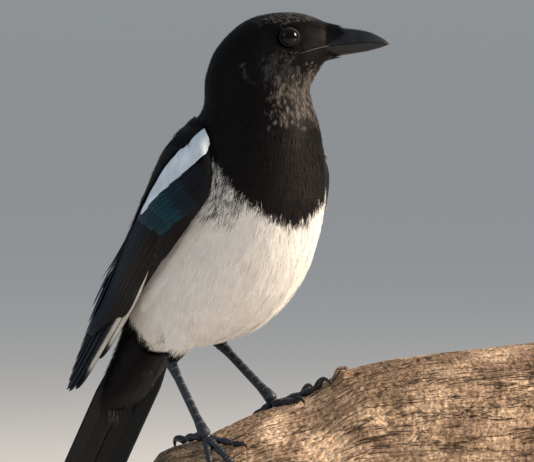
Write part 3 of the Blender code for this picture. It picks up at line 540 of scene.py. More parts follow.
def buildCoat(points, normals, triangles, tree, wings):
    centres = points[triangles].mean(1)
    _, place = axisFlow(centres)
    ahead, left, up = inHead(centres)
    eyeGap = np.linalg.norm(np.stack([ahead, np.abs(left) - 12.6, up], axis=1), axis=1)
    covered = np.zeros(len(centres), dtype=bool)
    for wing in wings:
        covered |= wing.covers(centres)
    for name, region in coat["regions"].items():
        inside = (place >= region["from"]) & (place < region["to"]) & ~covered & (eyeGap > 5.6)
        density = np.where(inside, region["tufts"], 0.0)
        roots, outs = scatter(points, normals, triangles, density)
        flow, rootPlace = axisFlow(roots)
        ways = flow - outs * (flow * outs).sum(1, keepdims=True)
        if name == "belly":
            ways = ways + np.array([0, 0, -0.35]) - outs * (outs @ np.array([0, 0, -0.35]))[:, None]
        ways = unit(ways + rng.normal(0, 0.06, ways.shape))
        ways = unit(ways - outs * (ways * outs).sum(1, keepdims=True))
        heel = np.min([np.linalg.norm(roots - np.array(h), axis=1) for h in marks["heels"]], axis=0)
        size = rng.uniform(0.8, 1.15, len(roots)) * (0.42 + 0.58 * smoothStep(8, 24, heel))
        lengths = region["length"] * size
        lifts = region["lift"] * size
        drops = surfaceDrop(tree, roots, ways, outs, lengths)
        white = whiteness(roots)
        tint = bodyTint(roots)
        for shade, chosen, material, tip in (("white", white > 0.5, whiteCoat, 1.06), ("black", white <= 0.5, blackCoat, 1.25)):
            if chosen.sum() < 3:
                continue
            pieces = layTufts(
                f"coat_{name}_{shade}", material, roots[chosen], outs[chosen], ways[chosen], drops[chosen],
                lengths[chosen], np.full(chosen.sum(), region["width"]), lifts[chosen], region["blades"],
                tint[chosen], tip, 0.22, bends=3 if name == "belly" else 2,
            )
        print(f"coat of the {name}: {len(roots)} tufts")


# Wings: the folded wing's surface, draped over the body as the solids' is, with its feathers in tiers.
# s runs from the shoulder to the tip, t from the lower edge to the upper.

wingShape = {
    "places": (-0.12, 0.0, 0.25, 0.5, 0.75, 1.0),
    "low": ((91, -33, 96), (95, -37, 77), (77, -45, 51), (46, -40, 27), (15, -32, 5), (-31, -28, -36)),
    "middle": ((87, -33, 104), (87, -38, 92), (62, -44, 70), (30, -36, 45), (-2, -26, 16), (-41, -24, -31)),
    "high": ((75, -27, 109), (65, -26, 104), (41, -23, 85), (9, -14, 54), (-27, -10, 21), (-50, -16, -26)),
    "grid": (40, 22),
    "clear": 0.5,
    "farTip": (-2.0, 4.0, 6.0),
    "farFrom": 0.04,  # how far up the far wing its scapulars and coverts reach
    "bed": ((-0.12, 0.4), (-0.05, 0.9), (0.0, 1.4), (0.08, 2.1), (0.2, 2.8), (0.35, 2.8), (0.45, 2.4), (0.6, 2.0),
            (0.74, 1.7)),
    "bedSpread": ((-0.12, 0.12), (-0.05, 0.36), (0.05, 0.47), (0.5, 0.46), (0.74, 0.42)),
    "bedEnd": 0.74,
    # how the long inner feathers stand out along the upper edge
    "swell": ((0.26, 0.0), (0.45, 0.4), (0.60, 1.4), (0.74, 2.6), (0.86, 2.0)),
    "lowDip": ((0.0, 2.4), (0.2, 3.6), (0.5, 2.2), (0.7, 1.2)),
    "highDip": ((0.0, 4.0), (0.25, 4.2), (0.5, 2.6), (0.7, 1.0)),
}


class Wing:
    def __init__(self, hand, tree):
        self.hand = hand
        rows, columns = wingShape["grid"]
        s = np.linspace(-0.12, 1.0, rows)
        t = np.linspace(-0.15, 1.15, columns)
        guides = {}
        for name in ("low", "middle", "high"):
            line = np.array(wingShape[name], dtype=float)
            guides[name] = np.stack(
                [curve(list(zip(wingShape["places"], line[:, k])), s) for k in range(3)], axis=1
            )[:, None]
        handle = guides["middle"] * 2 - (guides["low"] + guides["high"]) / 2
        w = t[None, :, None]
        self.points = guides["low"] * (1 - w) ** 2 + handle * 2 * w * (1 - w) + guides["high"] * w * w
        if hand > 0:
            # the far wing's tip is held a little higher and closer
            self.points += smoothStep(0.35, 1.0, s)[:, None, None] * np.array(wingShape["farTip"])
        for _ in range(4):
            self.clearOf(tree)
            inner = self.points[1:-1, 1:-1]
            around = self.points[:-2, 1:-1] + self.points[2:, 1:-1] + self.points[1:-1, :-2] + self.points[1:-1, 2:]
            self.points[1:-1, 1:-1] = inner * 0.4 + around * 0.15
        self.clearOf(tree)
        lengthwise = np.gradient(self.points, axis=0)
        across = np.gradient(self.points, axis=1)
        self.normals = unit(np.cross(lengthwise, across))
        self.normals[self.normals[..., 1] > 0.2] *= -1
        self.spans = np.linalg.norm(self.sample(self.points, s, 0.75) - self.sample(self.points, s, 0.25), axis=1) * 2
        self.s = s

    def clearOf(self, tree):
        for index in np.ndindex(*self.points.shape[:2]):
            point = self.turned(self.points[index])
            hit, normal, _, _ = tree.find_nearest(Vector(toRow(point)))
            hit, normal = toBird(hit), np.array(normal)
            if (point - hit) @ normal < wingShape["clear"]:
                self.points[index] = self.turned(hit + normal * wingShape["clear"])

    def turned(self, points):
        return np.asarray(points) * (1, -self.hand, 1)

    def sample(self, grid, s, t):
        rows, columns = wingShape["grid"]
        s, t = np.broadcast_arrays(np.asarray(s, dtype=float), np.asarray(t, dtype=float))
        u = (s + 0.12) / 1.12 * (rows - 1)
        v = (t + 0.15) / 1.3 * (columns - 1)
        i = np.clip(np.floor(u).astype(int), 0, rows - 2)
        j = np.clip(np.floor(v).astype(int), 0, columns - 2)
        a, b = (u - i)[..., None], (v - j)[..., None]
        return (
            grid[i, j] * (1 - a) * (1 - b) + grid[i + 1, j] * a * (1 - b)
            + grid[i, j + 1] * (1 - a) * b + grid[i + 1, j + 1] * a * b
        )

    def span(self, s):
        return np.interp(s, self.s, self.spans)

    def at(self, s, t, height):
        # points at a height over the surface, and the way out there
        out = unit(self.sample(self.normals, s, t))
        point = self.sample(self.points, s, t) + out * np.asarray(height)[..., None]
        return self.turned(point), self.turned(out)

    def covers(self, points):
        # true for points that lie well under this wing
        s, t = np.meshgrid(np.linspace(0.0, 0.62, 26), np.linspace(0.16, 0.86, 14), indexing="ij")
        spots = self.turned(self.sample(self.points, s.ravel(), t.ravel()))
        found = np.zeros(len(points), dtype=bool)
        for first in range(0, len(points), 4000):
            some = points[first:first + 4000]
            gap = np.linalg.norm(some[:, None] - spots[None], axis=2).min(1)
            found[first:first + 4000] = gap < 6.5
        return found


def wingDip(s, t):
    low = curve(wingShape["lowDip"], s) * np.maximum(0, 1 - t / 0.4) ** 1.5
    high = curve(wingShape["highDip"], s) * np.maximum(0, (t - 0.45) / 0.55) ** 1.5
    return low + high


def wingBed(s, t):
    swell = curve(wingShape["swell"], s) * smoothStep(0.60, 0.88, t)
    return np.maximum(0.5, curve(wingShape["bed"], s) + swell - wingDip(s, t))


featherColumns = np.array([-1.0, -0.86, -0.6, -0.3, -0.09, 0.0, 0.09, 0.3, 0.6, 0.86, 1.0])


class FeatherSheet:
    # gathers feathers, each a thin closed vane, into one piece with its own atlas
    def __init__(self, name, material):
        self.name, self.material = name, material
        self.points, self.faces, self.tints, self.barbs, self.cells = [], [], [], [], []
        self.total = 0

    def add(self, place, colour, length, rows=16, thick=0.34, columns=featherColumns, sizes=None):
        # place(u, v) gives points and the way out; colour(u, v) gives the tint
        u = 1 - (1 - np.linspace(0, 1, rows)) ** 1.25
        U, V = np.meshgrid(u, columns, indexing="ij")
        middle, out = place(U, V)
        edge = (thick / 2 * (1 - 0.6 * np.abs(V) ** 2) * (1 - 0.5 * U))[..., None]
        count = rows * len(columns)
        index = np.arange(count).reshape(rows, len(columns))
        quads = np.stack([index[:-1, :-1], index[:-1, 1:], index[1:, 1:], index[1:, :-1]], axis=-1).reshape(-1, 4)
        rim = np.concatenate([index[0, :-1], index[:-1, -1], index[-1, :0:-1], index[:0:-1, 0]])
        after = np.roll(rim, -1)
        walls = np.stack([after, rim, rim + count, after + count], axis=1)
        self.points.append(np.concatenate([(middle + out * edge).reshape(-1, 3), (middle - out * edge).reshape(-1, 3)]))
        self.faces.append(np.concatenate([quads, quads[:, ::-1] + count, walls]) + self.total)
        tint = colour(U, V).reshape(-1, 3)
        self.tints.append(np.concatenate([tint, tint * 0.8]))
        half = sizes if sizes is not None else 5.0
        barb = np.stack([U * length / 10, V * half / 10], axis=-1).reshape(-1, 2)
        self.barbs.append(np.concatenate([barb, barb]))
        cell = np.stack([U, V * 0.5 + 0.5], axis=-1).reshape(-1, 2)
        self.cells.append((cell, cell))
        self.total += count * 2

    def finish(self):
        side = math.ceil(math.sqrt(len(self.cells) * 2))
        atlas = []
        for number, pair in enumerate(self.cells):
            for face, cell in enumerate(pair):
                spot = number * 2 + face
                corner = np.array([spot % side, spot // side])
                atlas.append((corner + 0.06 + cell * 0.88) / side)
        piece = arrayPiece(
            self.name, np.concatenate(self.points), np.concatenate(self.faces), self.material,
            np.concatenate(self.tints), {"OFBake": np.concatenate(atlas), "Barbs": np.concatenate(self.barbs)},
        )
        turnOutwards(piece)
        return piece


def turnOutwards(piece):
    makeActive(piece)
    bpy.ops.object.mode_set(mode="EDIT")
    bpy.ops.mesh.select_all(action="SELECT")
    bpy.ops.mesh.normals_make_consistent(inside=False)
    bpy.ops.object.mode_set(mode="OBJECT")


def vaneMaterial(name, barbDepth, **sockets):
    # tint, with fine barbs that slant from the shaft to the edge
    material = tintedMaterial(name, 0.12, 160.0, **sockets)
    uv = node(material, "ShaderNodeUVMap", uv_map="Barbs").outputs["UV"]
    parts = node(material, "ShaderNodeSeparateXYZ", {"Vector": uv})
    outward = node(material, "ShaderNodeMath", {"#0": parts.outputs["Y"]}, operation="ABSOLUTE")
    slant = node(material, "ShaderNodeMath", {"#0": outward.outputs[0]}, operation="MULTIPLY")
    slant.inputs[1].default_value = -0.9
    line = node(material, "ShaderNodeMath", {"#0": parts.outputs["X"], "#1": slant.outputs[0]}, operation="ADD")
    place = node(material, "ShaderNodeCombineXYZ", {"X": line.outputs[0], "Y": parts.outputs["Y"]})
    squeeze = node(material, "ShaderNodeMapping", {"Vector": place.outputs[0]})
    squeeze.inputs["Scale"].default_value = (1.0, 0.12, 1.0)
    barbs = node(material, "ShaderNodeTexNoise", {"Vector": squeeze.outputs[0]}, Scale=34.0, Detail=2.0)
    bump(material, barbs.outputs["Fac"], barbDepth * mm)
    return material


def featherProfile(u, roundness=0.16):
    # half width along a feather, from 0 to 1
    rise = np.clip(u / 0.25, 0, 1) ** 0.7 * 0.5 + 0.5
    tip = np.clip((u - (1 - roundness)) / roundness, 0, 1)
    return rise * np.sqrt(np.maximum(1 - tip**2, 0.0009))


def wingFeather(sheet, wing, root, tip, width, height, tilt, colour, rows=16, thick=0.34, roundness=0.16, bow=0.0,
                dips=1.0):
    middle = (root[0] + tip[0]) / 2
    length = np.linalg.norm(wing.at(tip[0], tip[1], 0.0)[0] - wing.at(root[0], root[1], 0.0)[0])

    def place(u, v):
        s = root[0] + (tip[0] - root[0]) * u
        x = v * width / 2 * featherProfile(u, roundness)
        t = root[1] + (tip[1] - root[1]) * u + bow * np.sin(np.pi * u) + x / np.maximum(wing.span(s), 12)
        shaft = 0.16 * (1 - u) * np.exp(-((v / 0.1) ** 2))
        lift = curve(height, s) - tilt * x - dips * wingDip(s, t) + shaft - 0.02 * x * x / max(width, 1) * 2
        return wing.at(s, t, lift)

    sheet.add(place, colour, length, rows, thick, sizes=width / 2)


wingColours = {
    "blueBlack": (0.007, 0.011, 0.019),
    "teal": (0.006, 0.036, 0.050),
    "blue": (0.008, 0.022, 0.042),
    "black": (0.005, 0.005, 0.0065),
    "brown": (0.0075, 0.0060, 0.0052),
    "edge": (0.032, 0.023, 0.017),
    "white": (0.62, 0.56, 0.48),
    # the white scapulars are painted pale blue: painted cool light from the sky
    "scapular": (0.66, 0.73, 0.80),
}


def shaded(inner, outer, edge=None, edgeFrom=0.84, edgeSide=-1, tipEdge=True, seed=0, vary=0.10):
    # inner along the shaft's inner web, outer on the other, and a narrow edge of its own colour
    local = np.random.default_rng(seed)
    tone = 1 + local.normal(0, vary)

    def colour(u, v):
        tint = mix(np.array(outer) * tone, np.array(inner) * tone, smoothStep(-0.15, 0.35, v))
        if edge is not None:
            rim = smoothStep(edgeFrom, 1.0, v * edgeSide)
            if tipEdge:
                rim = np.maximum(rim, smoothStep(0.965, 1.0, u))
            tint = mix(tint, edge, rim * 0.8)
        return tint

    return colour


def whiteWeb(seed=0):
    # a primary's white inner web, with a dark margin and tip
    def colour(u, v):
        white = smoothStep(-0.98, -0.84, v) * smoothStep(0.93, 0.80, v) * smoothStep(0.90, 0.84, u)
        shaft = np.exp(-((v / 0.07) ** 2)) * 0.6
        return mix(mix(wingColours["brown"], wingColours["white"], white), wingColours["brown"], shaft)

    return colour


def buildWingBed(name, wing):
    rings = []
    for s in np.linspace(-0.12 if wing.hand < 0 else 0.0, wingShape["bedEnd"], 30):
        spread = curve(wingShape["bedSpread"], s)
        angle = 2 * np.pi * np.arange(28) / 28
        t = 0.5 - spread * np.cos(angle)
        full = wingBed(np.full(28, s), t)
        rise = np.abs(np.sin(angle)) ** 0.6
        lift = np.where(np.arange(28) <= 14, full * (0.3 + 0.7 * rise), full * 0.3 * (1 - rise))
        rings.append(wing.at(np.full(28, s), t, lift)[0])
    piece = gridPiece(f"wing_bed_{name}", rings, wingBedMaterial)
    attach(piece, "root")
    return piece


def buildWing(name, wing):
    c = wingColours
    bed = buildWingBed(name, wing)
    local = np.random.default_rng(5)
    flight = FeatherSheet(f"wing_flight_{name}", flightMaterial)
    primaryHeight = ((0.4, 1.0), (0.56, 1.3), (0.8, 1.5), (1.0, 1.4))
    primaries = (
        ((0.44, 0.10), (0.868, -0.02), 10.5, True), ((0.44, 0.14), (0.975, 0.05), 9.5, True),
        ((0.44, 0.20), (0.995, 0.22), 11.0, False), ((0.44, 0.26), (1.0, 0.36), 11.5, False),
        ((0.44, 0.34), (0.985, 0.50), 11.5, False), ((0.44, 0.42), (0.965, 0.62), 11.5, False),
        ((0.44, 0.50), (0.94, 0.71), 11.5, False), ((0.44, 0.57), (0.91, 0.79), 11.5, False),
        ((0.44, 0.64), (0.88, 0.85), 11.5, False),
    )
    for number, (root, tip, width, pale) in enumerate(primaries):
        tint = whiteWeb(number) if pale else shaded(c["black"], c["blueBlack"], c["brown"], seed=number)
        wingFeather(flight, wing, root, tip, width, primaryHeight, 0.15, tint, rows=24, roundness=0.14, dips=0.0)
    secondaryHeight = ((0.26, 1.8), (0.34, 2.7), (0.45, 3.2), (0.55, 3.2), (0.7, 3.0), (0.86, 2.9))
    for k in range(9):
        share = k / 8
        root = (0.27, 0.12 + 0.48 * share)
        tip = (0.735 + 0.12 * min(1, share * 1.5) + local.normal(0, 0.004), 0.095 + 0.48 * share)
        dark = mix(c["brown"], c["blueBlack"], smoothStep(0.3, 0.9, share))
        colour = shaded(c["black"], dark, c["edge"] if k < 5 else c["blue"], 0.84, tipEdge=False, seed=20 + k)
        wingFeather(flight, wing, root, tip, 12.5, secondaryHeight, 0.095, colour, rows=22, roundness=0.12)
    tertials = (
        ((0.26, 0.64), (0.855, 0.64), 16.0), ((0.25, 0.71), (0.84, 0.72), 17.0),
        ((0.24, 0.78), (0.80, 0.80), 18.0), ((0.22, 0.86), (0.72, 0.88), 17.0),
    )
    for number, (root, tip, width) in enumerate(tertials):
        colour = shaded(c["blueBlack"], c["blue"], c["blueBlack"], seed=40 + number)
        spots = np.linspace(0.26, 0.86, 9)
        height = list(zip(spots, curve(secondaryHeight, spots) + curve(wingShape["swell"], spots) * number / 3))
        wingFeather(flight, wing, root, tip, width, height, 0.095, colour, rows=22, roundness=0.2)
    first = flight.finish()
    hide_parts(f"wing_{name}")

    coverts = FeatherSheet(f"wing_coverts_{name}", covertMaterial)
    rows = (
        # root and tip s at the low and the high end, t from and to, count, width, height over the bed, colours
        {"root": (0.10, 0.16), "tip": (0.40, 0.30), "t": (0.055, 0.16), "count": 5, "width": 8.0, "rise": 0.9,
         "colour": (c["black"], c["brown"]), "edge": c["brown"]},
        {"root": (0.15, 0.18), "tip": (0.30, 0.43), "t": (0.20, 0.76), "count": 12, "width": 10.0, "rise": 1.3,
         "colour": (c["teal"], c["blue"]), "edge": c["blueBlack"]},
        {"root": (0.00, 0.04), "tip": (0.30, 0.20), "t": (0.06, 0.13), "count": 4, "width": 7.5, "rise": 1.5,
         "colour": (c["brown"], c["brown"]), "edge": c["black"]},
        {"root": (0.08, 0.10), "tip": (0.235, 0.33), "t": (0.17, 0.74), "count": 12, "width": 9.5, "rise": 1.6,
         "colour": (c["teal"], c["teal"]), "edge": c["blueBlack"]},
        {"root": (0.03, 0.05), "tip": (0.175, 0.24), "t": (0.11, 0.70), "count": 12, "width": 9.0, "rise": 1.7,
         "colour": (c["blueBlack"], c["teal"]), "edge": c["black"]},
        {"root": (-0.02, -0.01), "tip": (0.12, 0.16), "t": (0.07, 0.64), "count": 11, "width": 8.5, "rise": 1.6,
         "colour": (c["black"], c["blueBlack"]), "edge": c["black"]},
        {"root": (-0.06, -0.05), "tip": (0.07, 0.09), "t": (0.05, 0.60), "count": 10, "width": 8.0, "rise": 1.5,
         "colour": (c["black"], c["blueBlack"]), "edge": c["black"]},
        {"root": (-0.09, -0.08), "tip": (0.025, 0.03), "t": (0.02, 0.54), "count": 9, "width": 7.5, "rise": 1.4,
         "colour": (c["black"], c["black"]), "edge": c["black"]},
        {"root": (-0.115, -0.11), "tip": (-0.015, -0.01), "t": (0.04, 0.48), "count": 8, "width": 7.0, "rise": 1.2,
         "colour": (c["black"], c["black"]), "edge": c["black"]},
    )
    for order, row in enumerate(rows):
        for k in range(row["count"]):
            share = k / (row["count"] - 1)
            t = row["t"][0] + (row["t"][1] - row["t"][0]) * share
            rootS = row["root"][0] + (row["root"][1] - row["root"][0]) * share
            tipS = row["tip"][0] + (row["tip"][1] - row["tip"][0]) * share + local.normal(0, 0.006)
            if wing.hand > 0 and tipS < wingShape["farFrom"]:
                continue
            spots = np.linspace(rootS, tipS, 5)
            ramped = row["rise"] * np.clip((spots - rootS) / 0.06, 0.1, 1)
            height = list(zip(spots, np.maximum(curve(wingShape["bed"], spots), 0.6) + ramped))
            web = mix(row["colour"][0], row["colour"][1], share)
            colour = shaded(web, web, row["edge"], 0.80, seed=60 + order * 14 + k)
            wingFeather(coverts, wing, (rootS, t + 0.01), (tipS, t), row["width"], height, 0.075, colour,
                        rows=13, thick=0.2, roundness=0.4)
    coverts.finish()

    scapulars = FeatherSheet(f"scapulars_{name}", scapularMaterial)
    patchLow = (
        (-0.12, 0.27), (-0.05, 0.32), (0.01, 0.44), (0.07, 0.48), (0.12, 0.48), (0.22, 0.47), (0.30, 0.50), (0.36, 0.52),
    )
    patchHigh = (
        (-0.12, 0.34), (-0.09, 0.47), (-0.05, 0.59), (0.0, 0.66), (0.06, 0.68), (0.17, 0.67), (0.23, 0.65), (0.30, 0.60),
        (0.36, 0.54),
    )
    tips = np.linspace(0.35, -0.085, 17)
    for order, tipS in enumerate(tips):
        if wing.hand > 0 and tipS < wingShape["farFrom"]:
            continue
        low, high = np.interp(tipS, *zip(*patchLow)), np.interp(tipS, *zip(*patchHigh))
        count = max(1, round((high - low) * 50 / 2.6))
        for k in range(count):
            t = low + (high - low) * (k + 0.5) / count + local.normal(0, 0.004)
            rootS = max(-0.125, tipS - 0.12)
            spots = np.linspace(rootS, tipS, 5)
            ramped = (1.9 + 0.05 * order) * np.clip((spots - rootS) / 0.07, 0.15, 1)
            ramped = ramped + 1.1 * np.exp(-(((spots + 0.01) / 0.05) ** 2))
            height = list(zip(spots, np.maximum(curve(wingShape["bed"], spots), 0.5) + ramped))
            # painted cool sky light: the white scapulars take a pale blue colour
            tone = np.array(c["scapular"])
            colour = shaded(tone, tone, seed=200 + order * 9 + k, vary=0.015)
            rootT = t * 0.6 + np.interp(rootS, *zip(*patchLow)) * 0.25 + np.interp(rootS, *zip(*patchHigh)) * 0.15
            wingFeather(scapulars, wing, (rootS, rootT), (tipS + local.normal(0, 0.004), t), 7.0, height, 0.03,
                        colour, rows=11, thick=0.14, roundness=0.5)
    scapulars.finish()
    return bed


wingBedMaterial = newMaterial("wingBed", Base_Color=(0.010, 0.011, 0.014, 1), Roughness=0.7)
bedNoise = node(wingBedMaterial, "ShaderNodeTexNoise", {"Vector": objectPlace(wingBedMaterial)}, Scale=900.0, Detail=2.0)
bump(wingBedMaterial, bedNoise.outputs["Fac"], 0.3 * mm)
flightMaterial = vaneMaterial("flightFeathers", 0.12, Roughness=0.50, Specular_IOR_Level=0.07)
covertMaterial = vaneMaterial("covertFeathers", 0.14, Roughness=0.46, Specular_IOR_Level=0.09)
scapularMaterial = vaneMaterial("scapularFeathers", 0.06, Roughness=0.8, Specular_IOR_Level=0.3)


# Tail: twelve feathers in graded pairs, with soft coverts over their roots

tail = {
    "pitch": 55.0,
    "rootAt": 8.0,
    "lengths": (240.0, 225.0, 205.0, 180.0, 155.0, 125.0),
    "widths": (27.0, 17.5, 18.6, 19.6, 20.6, 21.6),
    "layer": 0.86,
    "top": 5.0,
    "camber": 300.0,
}
tailPitch = math.radians(tail["pitch"])
tailAlong = np.array([-math.cos(tailPitch), 0.0, -math.sin(tailPitch)])
tailUp = np.array([-math.sin(tailPitch), 0.0, math.cos(tailPitch)])


def onTail(reach, left, height):
    reach, left, height = (np.asarray(v, dtype=float)[..., None] for v in (reach, left, height))
    return tailAlong * reach + np.array([0.0, 1.0, 0.0]) * left + tailUp * (height - left**2 / tail["camber"])


def buildTail():
    c = wingColours
    sheet = FeatherSheet("tail_feathers", tailMaterial)
    for number, (length, width) in enumerate(zip(tail["lengths"], tail["widths"])):
        for hand in (-1, 1):
            if number == 0:
                middle, height = hand * 1.2, tail["top"] - (tail["layer"] if hand > 0 else 0)
            else:
                middle, height = hand * (0.1 + width / 2), tail["top"] - tail["layer"] * (number + 1)

            def place(u, v, length=length, width=width, middle=middle, height=height):
                reach = tail["rootAt"] + (length - tail["rootAt"]) * u
                x = v * width / 2 * featherProfile(u, 0.10)
                shaft = 0.22 * (1 - u) * np.exp(-((v / 0.1) ** 2))
                left = middle + x
                points = onTail(reach, left, height + shaft)
                return points, np.broadcast_to(tailUp, points.shape)

            inner, outer = (0.0030, 0.0026, 0.0026), (0.0028, 0.0048, 0.0075)
            if hand > 0:
                inner, outer = outer, inner
            colour = shaded(inner, outer, (0.006, 0.011, 0.016), 0.86, edgeSide=-1, seed=300 + number * 2 + hand)
            sheet.add(place, colour, length, rows=34, thick=0.42, sizes=width / 2)
    piece = sheet.finish()
    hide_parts("tail")

    # The tail's root: a soft cone that the coverts grow from
    rings = []
    for reach in np.linspace(-14, 52, 16):
        share = (reach + 14) / 66
        wide = 17.5 * (1 - 0.15 * share) * math.sqrt(max(0.02, 1 - max(0, share - 0.72) ** 2 / 0.085))
        deep = (10.5 * (1 - share) ** 0.9 + 1.3) * math.sqrt(max(0.02, 1 - max(0, share - 0.72) ** 2 / 0.085))
        centre = onTail(reach, 0, tail["top"] - 3.6 - deep * 0.30)
        rings.append(ringAt(centre, np.array([0.0, 1.0, 0.0]), tailUp, wide, deep, 36))
    root = gridPiece("tail_root", rings, skinMaterial)
    points, normals, triangles = meshArrays(root)
    paintPiece(root, np.tile(marks["black"], (len(points), 1)))
    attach(root, "root")
    roots, outs = scatter(points, normals, triangles, np.full(len(triangles), 0.42))
    ways = unit(tailAlong - outs * (outs @ tailAlong)[:, None] + rng.normal(0, 0.07, roots.shape))
    lengths = rng.uniform(8, 12.5, len(roots))
    tint = np.array(marks["black"])[None] * rng.uniform(0.8, 1.4, (len(roots), 1))
    fleck = rng.random(len(roots)) < 0.0015
    tint[fleck] = (0.20, 0.19, 0.18)
    pieces = layTufts("coat_vent_black", blackCoat, roots, outs, ways, np.zeros(len(roots)), lengths,
                      np.full(len(roots), 0.42), np.full(len(roots), 1.6), 8, tint, 1.2, 0.2, bends=2)


tailMaterial = vaneMaterial("tailFeathers", 0.10, Roughness=0.52, Specular_IOR_Level=0.06)


def meshArrays(piece):
    mesh = piece.data
    points = np.empty(len(mesh.vertices) * 3, dtype=np.float32)
    normals = np.empty_like(points)
    mesh.vertices.foreach_get("co", points)
    mesh.vertex_normals.foreach_get("vector", normals)
    mesh.calc_loop_triangles()
    triangles = np.empty(len(mesh.loop_triangles) * 3, dtype=np.int32)
    mesh.loop_triangles.foreach_get("vertices", triangles)
    return toBird(points.reshape(-1, 3)), normals.reshape(-1, 3).astype(float), triangles.reshape(-1, 3)


def treeOf(*pieces):
    points, faces, total = [], [], 0
    for piece in pieces:
        places, _, triangles = meshArrays(piece)
        points.append(toRow(places))
        faces.append(triangles + total)
        total += len(places)
    return BVHTree.FromPolygons(np.concatenate(points).tolist(), np.concatenate(faces).tolist())


# Bill: two halves, each a grid wrapped over its sections

bill = {
    "faceAt": 19.0,
    "length": 50.7,
    "culmen": ((19.0, 5.6), (26.3, 3.9), (31.0, 3.0), (36.0, 2.1), (41.0, 0.6), (45.9, -2.1), (48.7, -4.1), (50.7, -6.2)),
    "cutting": ((2.0, -9.6), (7.0, -8.0), (13.0, -6.4), (20.5, -5.0), (26.0, -4.6), (35.8, -4.1), (40.7, -4.5), (45.7, -5.2), (50.7, -6.5)),
    "keel": ((19.0, -11.2), (25.5, -10.6), (35.5, -9.5), (40.5, -8.8), (45.6, -7.6), (49.2, -6.5)),
    "width": ((14.0, 7.4), (20.5, 6.6), (28.0, 5.6), (38.0, 4.2), (44.0, 2.8), (49.0, 1.2), (50.7, 0.35)),
}


def buildBill():
    count = 40
    for name, upper in (("bill_horn_upper", True), ("bill_horn_lower", False)):
        rings = []
        length = bill["length"] if upper else bill["length"] - 1.5
        for share in np.linspace(0, 1, 44):
            ahead = bill["faceAt"] - 4.0 + (length - bill["faceAt"] + 4.0) * share**0.85
            cut = curve(bill["cutting"], ahead) + (0.0 if upper else -0.28)
            far = curve(bill["culmen"] if upper else bill["keel"], ahead)
            wide = curve(bill["width"], ahead)
            angle = 2 * np.pi * np.arange(count) / count
            left = wide * np.cos(angle)
            rise = np.abs(np.sin(angle))
            over = (far - cut) * rise**1.12
            # the upper half's underside hangs into the lower half's hollow, so no light shows between them
            under = -0.25 * rise if not upper else -0.42 * rise * np.clip(wide / 2.0, 0, 1)
            # the upper half's edge turns in a little, and its ridge is narrow
            height = np.where(np.sin(angle) >= 0, cut + over, cut + under)
            left = left * (1 - 0.10 * np.where(np.sin(angle) >= 0, np.sin(2 * np.arcsin(np.clip(rise, 0, 1))), 0))
            rings.append(onHead(np.full(count, ahead), left, height))
        piece = gridPiece(name, rings, billMaterial)
        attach(piece, "root")
        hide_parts("bill_upper" if upper else "bill_lower")


gape = {"from": 5.0, "to": 19.5, "over": 0.70, "radius": 0.19, "colour": (0.085, 0.082, 0.078)}


def buildGape(tree):
    # the pale fold that runs back from the bill's edge
    for name, hand in (("left", 1.0), ("right", -1.0)):
        path = []
        for ahead in np.linspace(gape["from"], gape["to"], 14):
            start = onHead(ahead, hand * 30.0, curve(bill["cutting"], ahead)).reshape(3)
            hit, normal, _, _ = tree.ray_cast(Vector(toRow(start)), Vector(headLeft * -hand))
            if hit is not None:
                path.append(toBird(hit) + np.array(normal) * gape["over"])
        path, _ = smoothPath(path, 40)
        radii = gape["radius"] * np.sin(np.linspace(0.12, np.pi - 0.5, 40)) ** 0.7
        rings = tubeRings(path, radii, headUp, 10)
        tints = np.tile(gape["colour"], (40, 10, 1))
        piece = gridPiece(f"gape_{name}", rings, lidMaterial, tint=tints)
        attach(piece, "root")


billMaterial = newMaterial("billHorn", Roughness=0.40, Specular_IOR_Level=0.24)
billPlace = objectPlace(billMaterial, turn=(0, 0, -headYaw))
billGrain = node(billMaterial, "ShaderNodeTexNoise", {"Vector": billPlace}, Scale=260.0, Detail=4.0)
connect(billMaterial, ramp(billMaterial, billGrain.outputs["Fac"], (
    (0.30, (0.004, 0.005, 0.008)), (0.60, (0.008, 0.010, 0.016)), (0.80, (0.014, 0.017, 0.026)))), "Base Color")
billFine = node(billMaterial, "ShaderNodeTexNoise", {"Vector": billPlace}, Scale=900.0, Detail=3.0)
bump(billMaterial, billFine.outputs["Fac"], 0.06 * mm)


# Eyes: a dark ball under a clear coat, in a ring of bare lid

eye = {
    "out": 12.6, "radius": 5.2,
    # half width and half height of the lid's opening and of its outline, and how far out its outline lies
    "opening": (4.25, 3.6), "outline": (5.3, 4.75), "outlineAt": 2.5,
    # inner and outer share of the lid's width, thickness, beading and colour of each hoop
    "hoops": (
        {"name": "lid", "share": (0.0, 1.0), "thick": 0.36, "bead": 0.0, "over": 0.0, "colour": (0.005, 0.005, 0.006)},
        {"name": "lid_edge", "share": (0.0, 0.14), "thick": 0.16, "bead": 0.15, "over": 0.24,
         "colour": (0.030, 0.028, 0.028)},
        {"name": "lid_rim", "share": (0.60, 0.76), "thick": 0.16, "bead": 0.2, "over": 0.26,
         "colour": (0.055, 0.052, 0.050)},
    ),
}


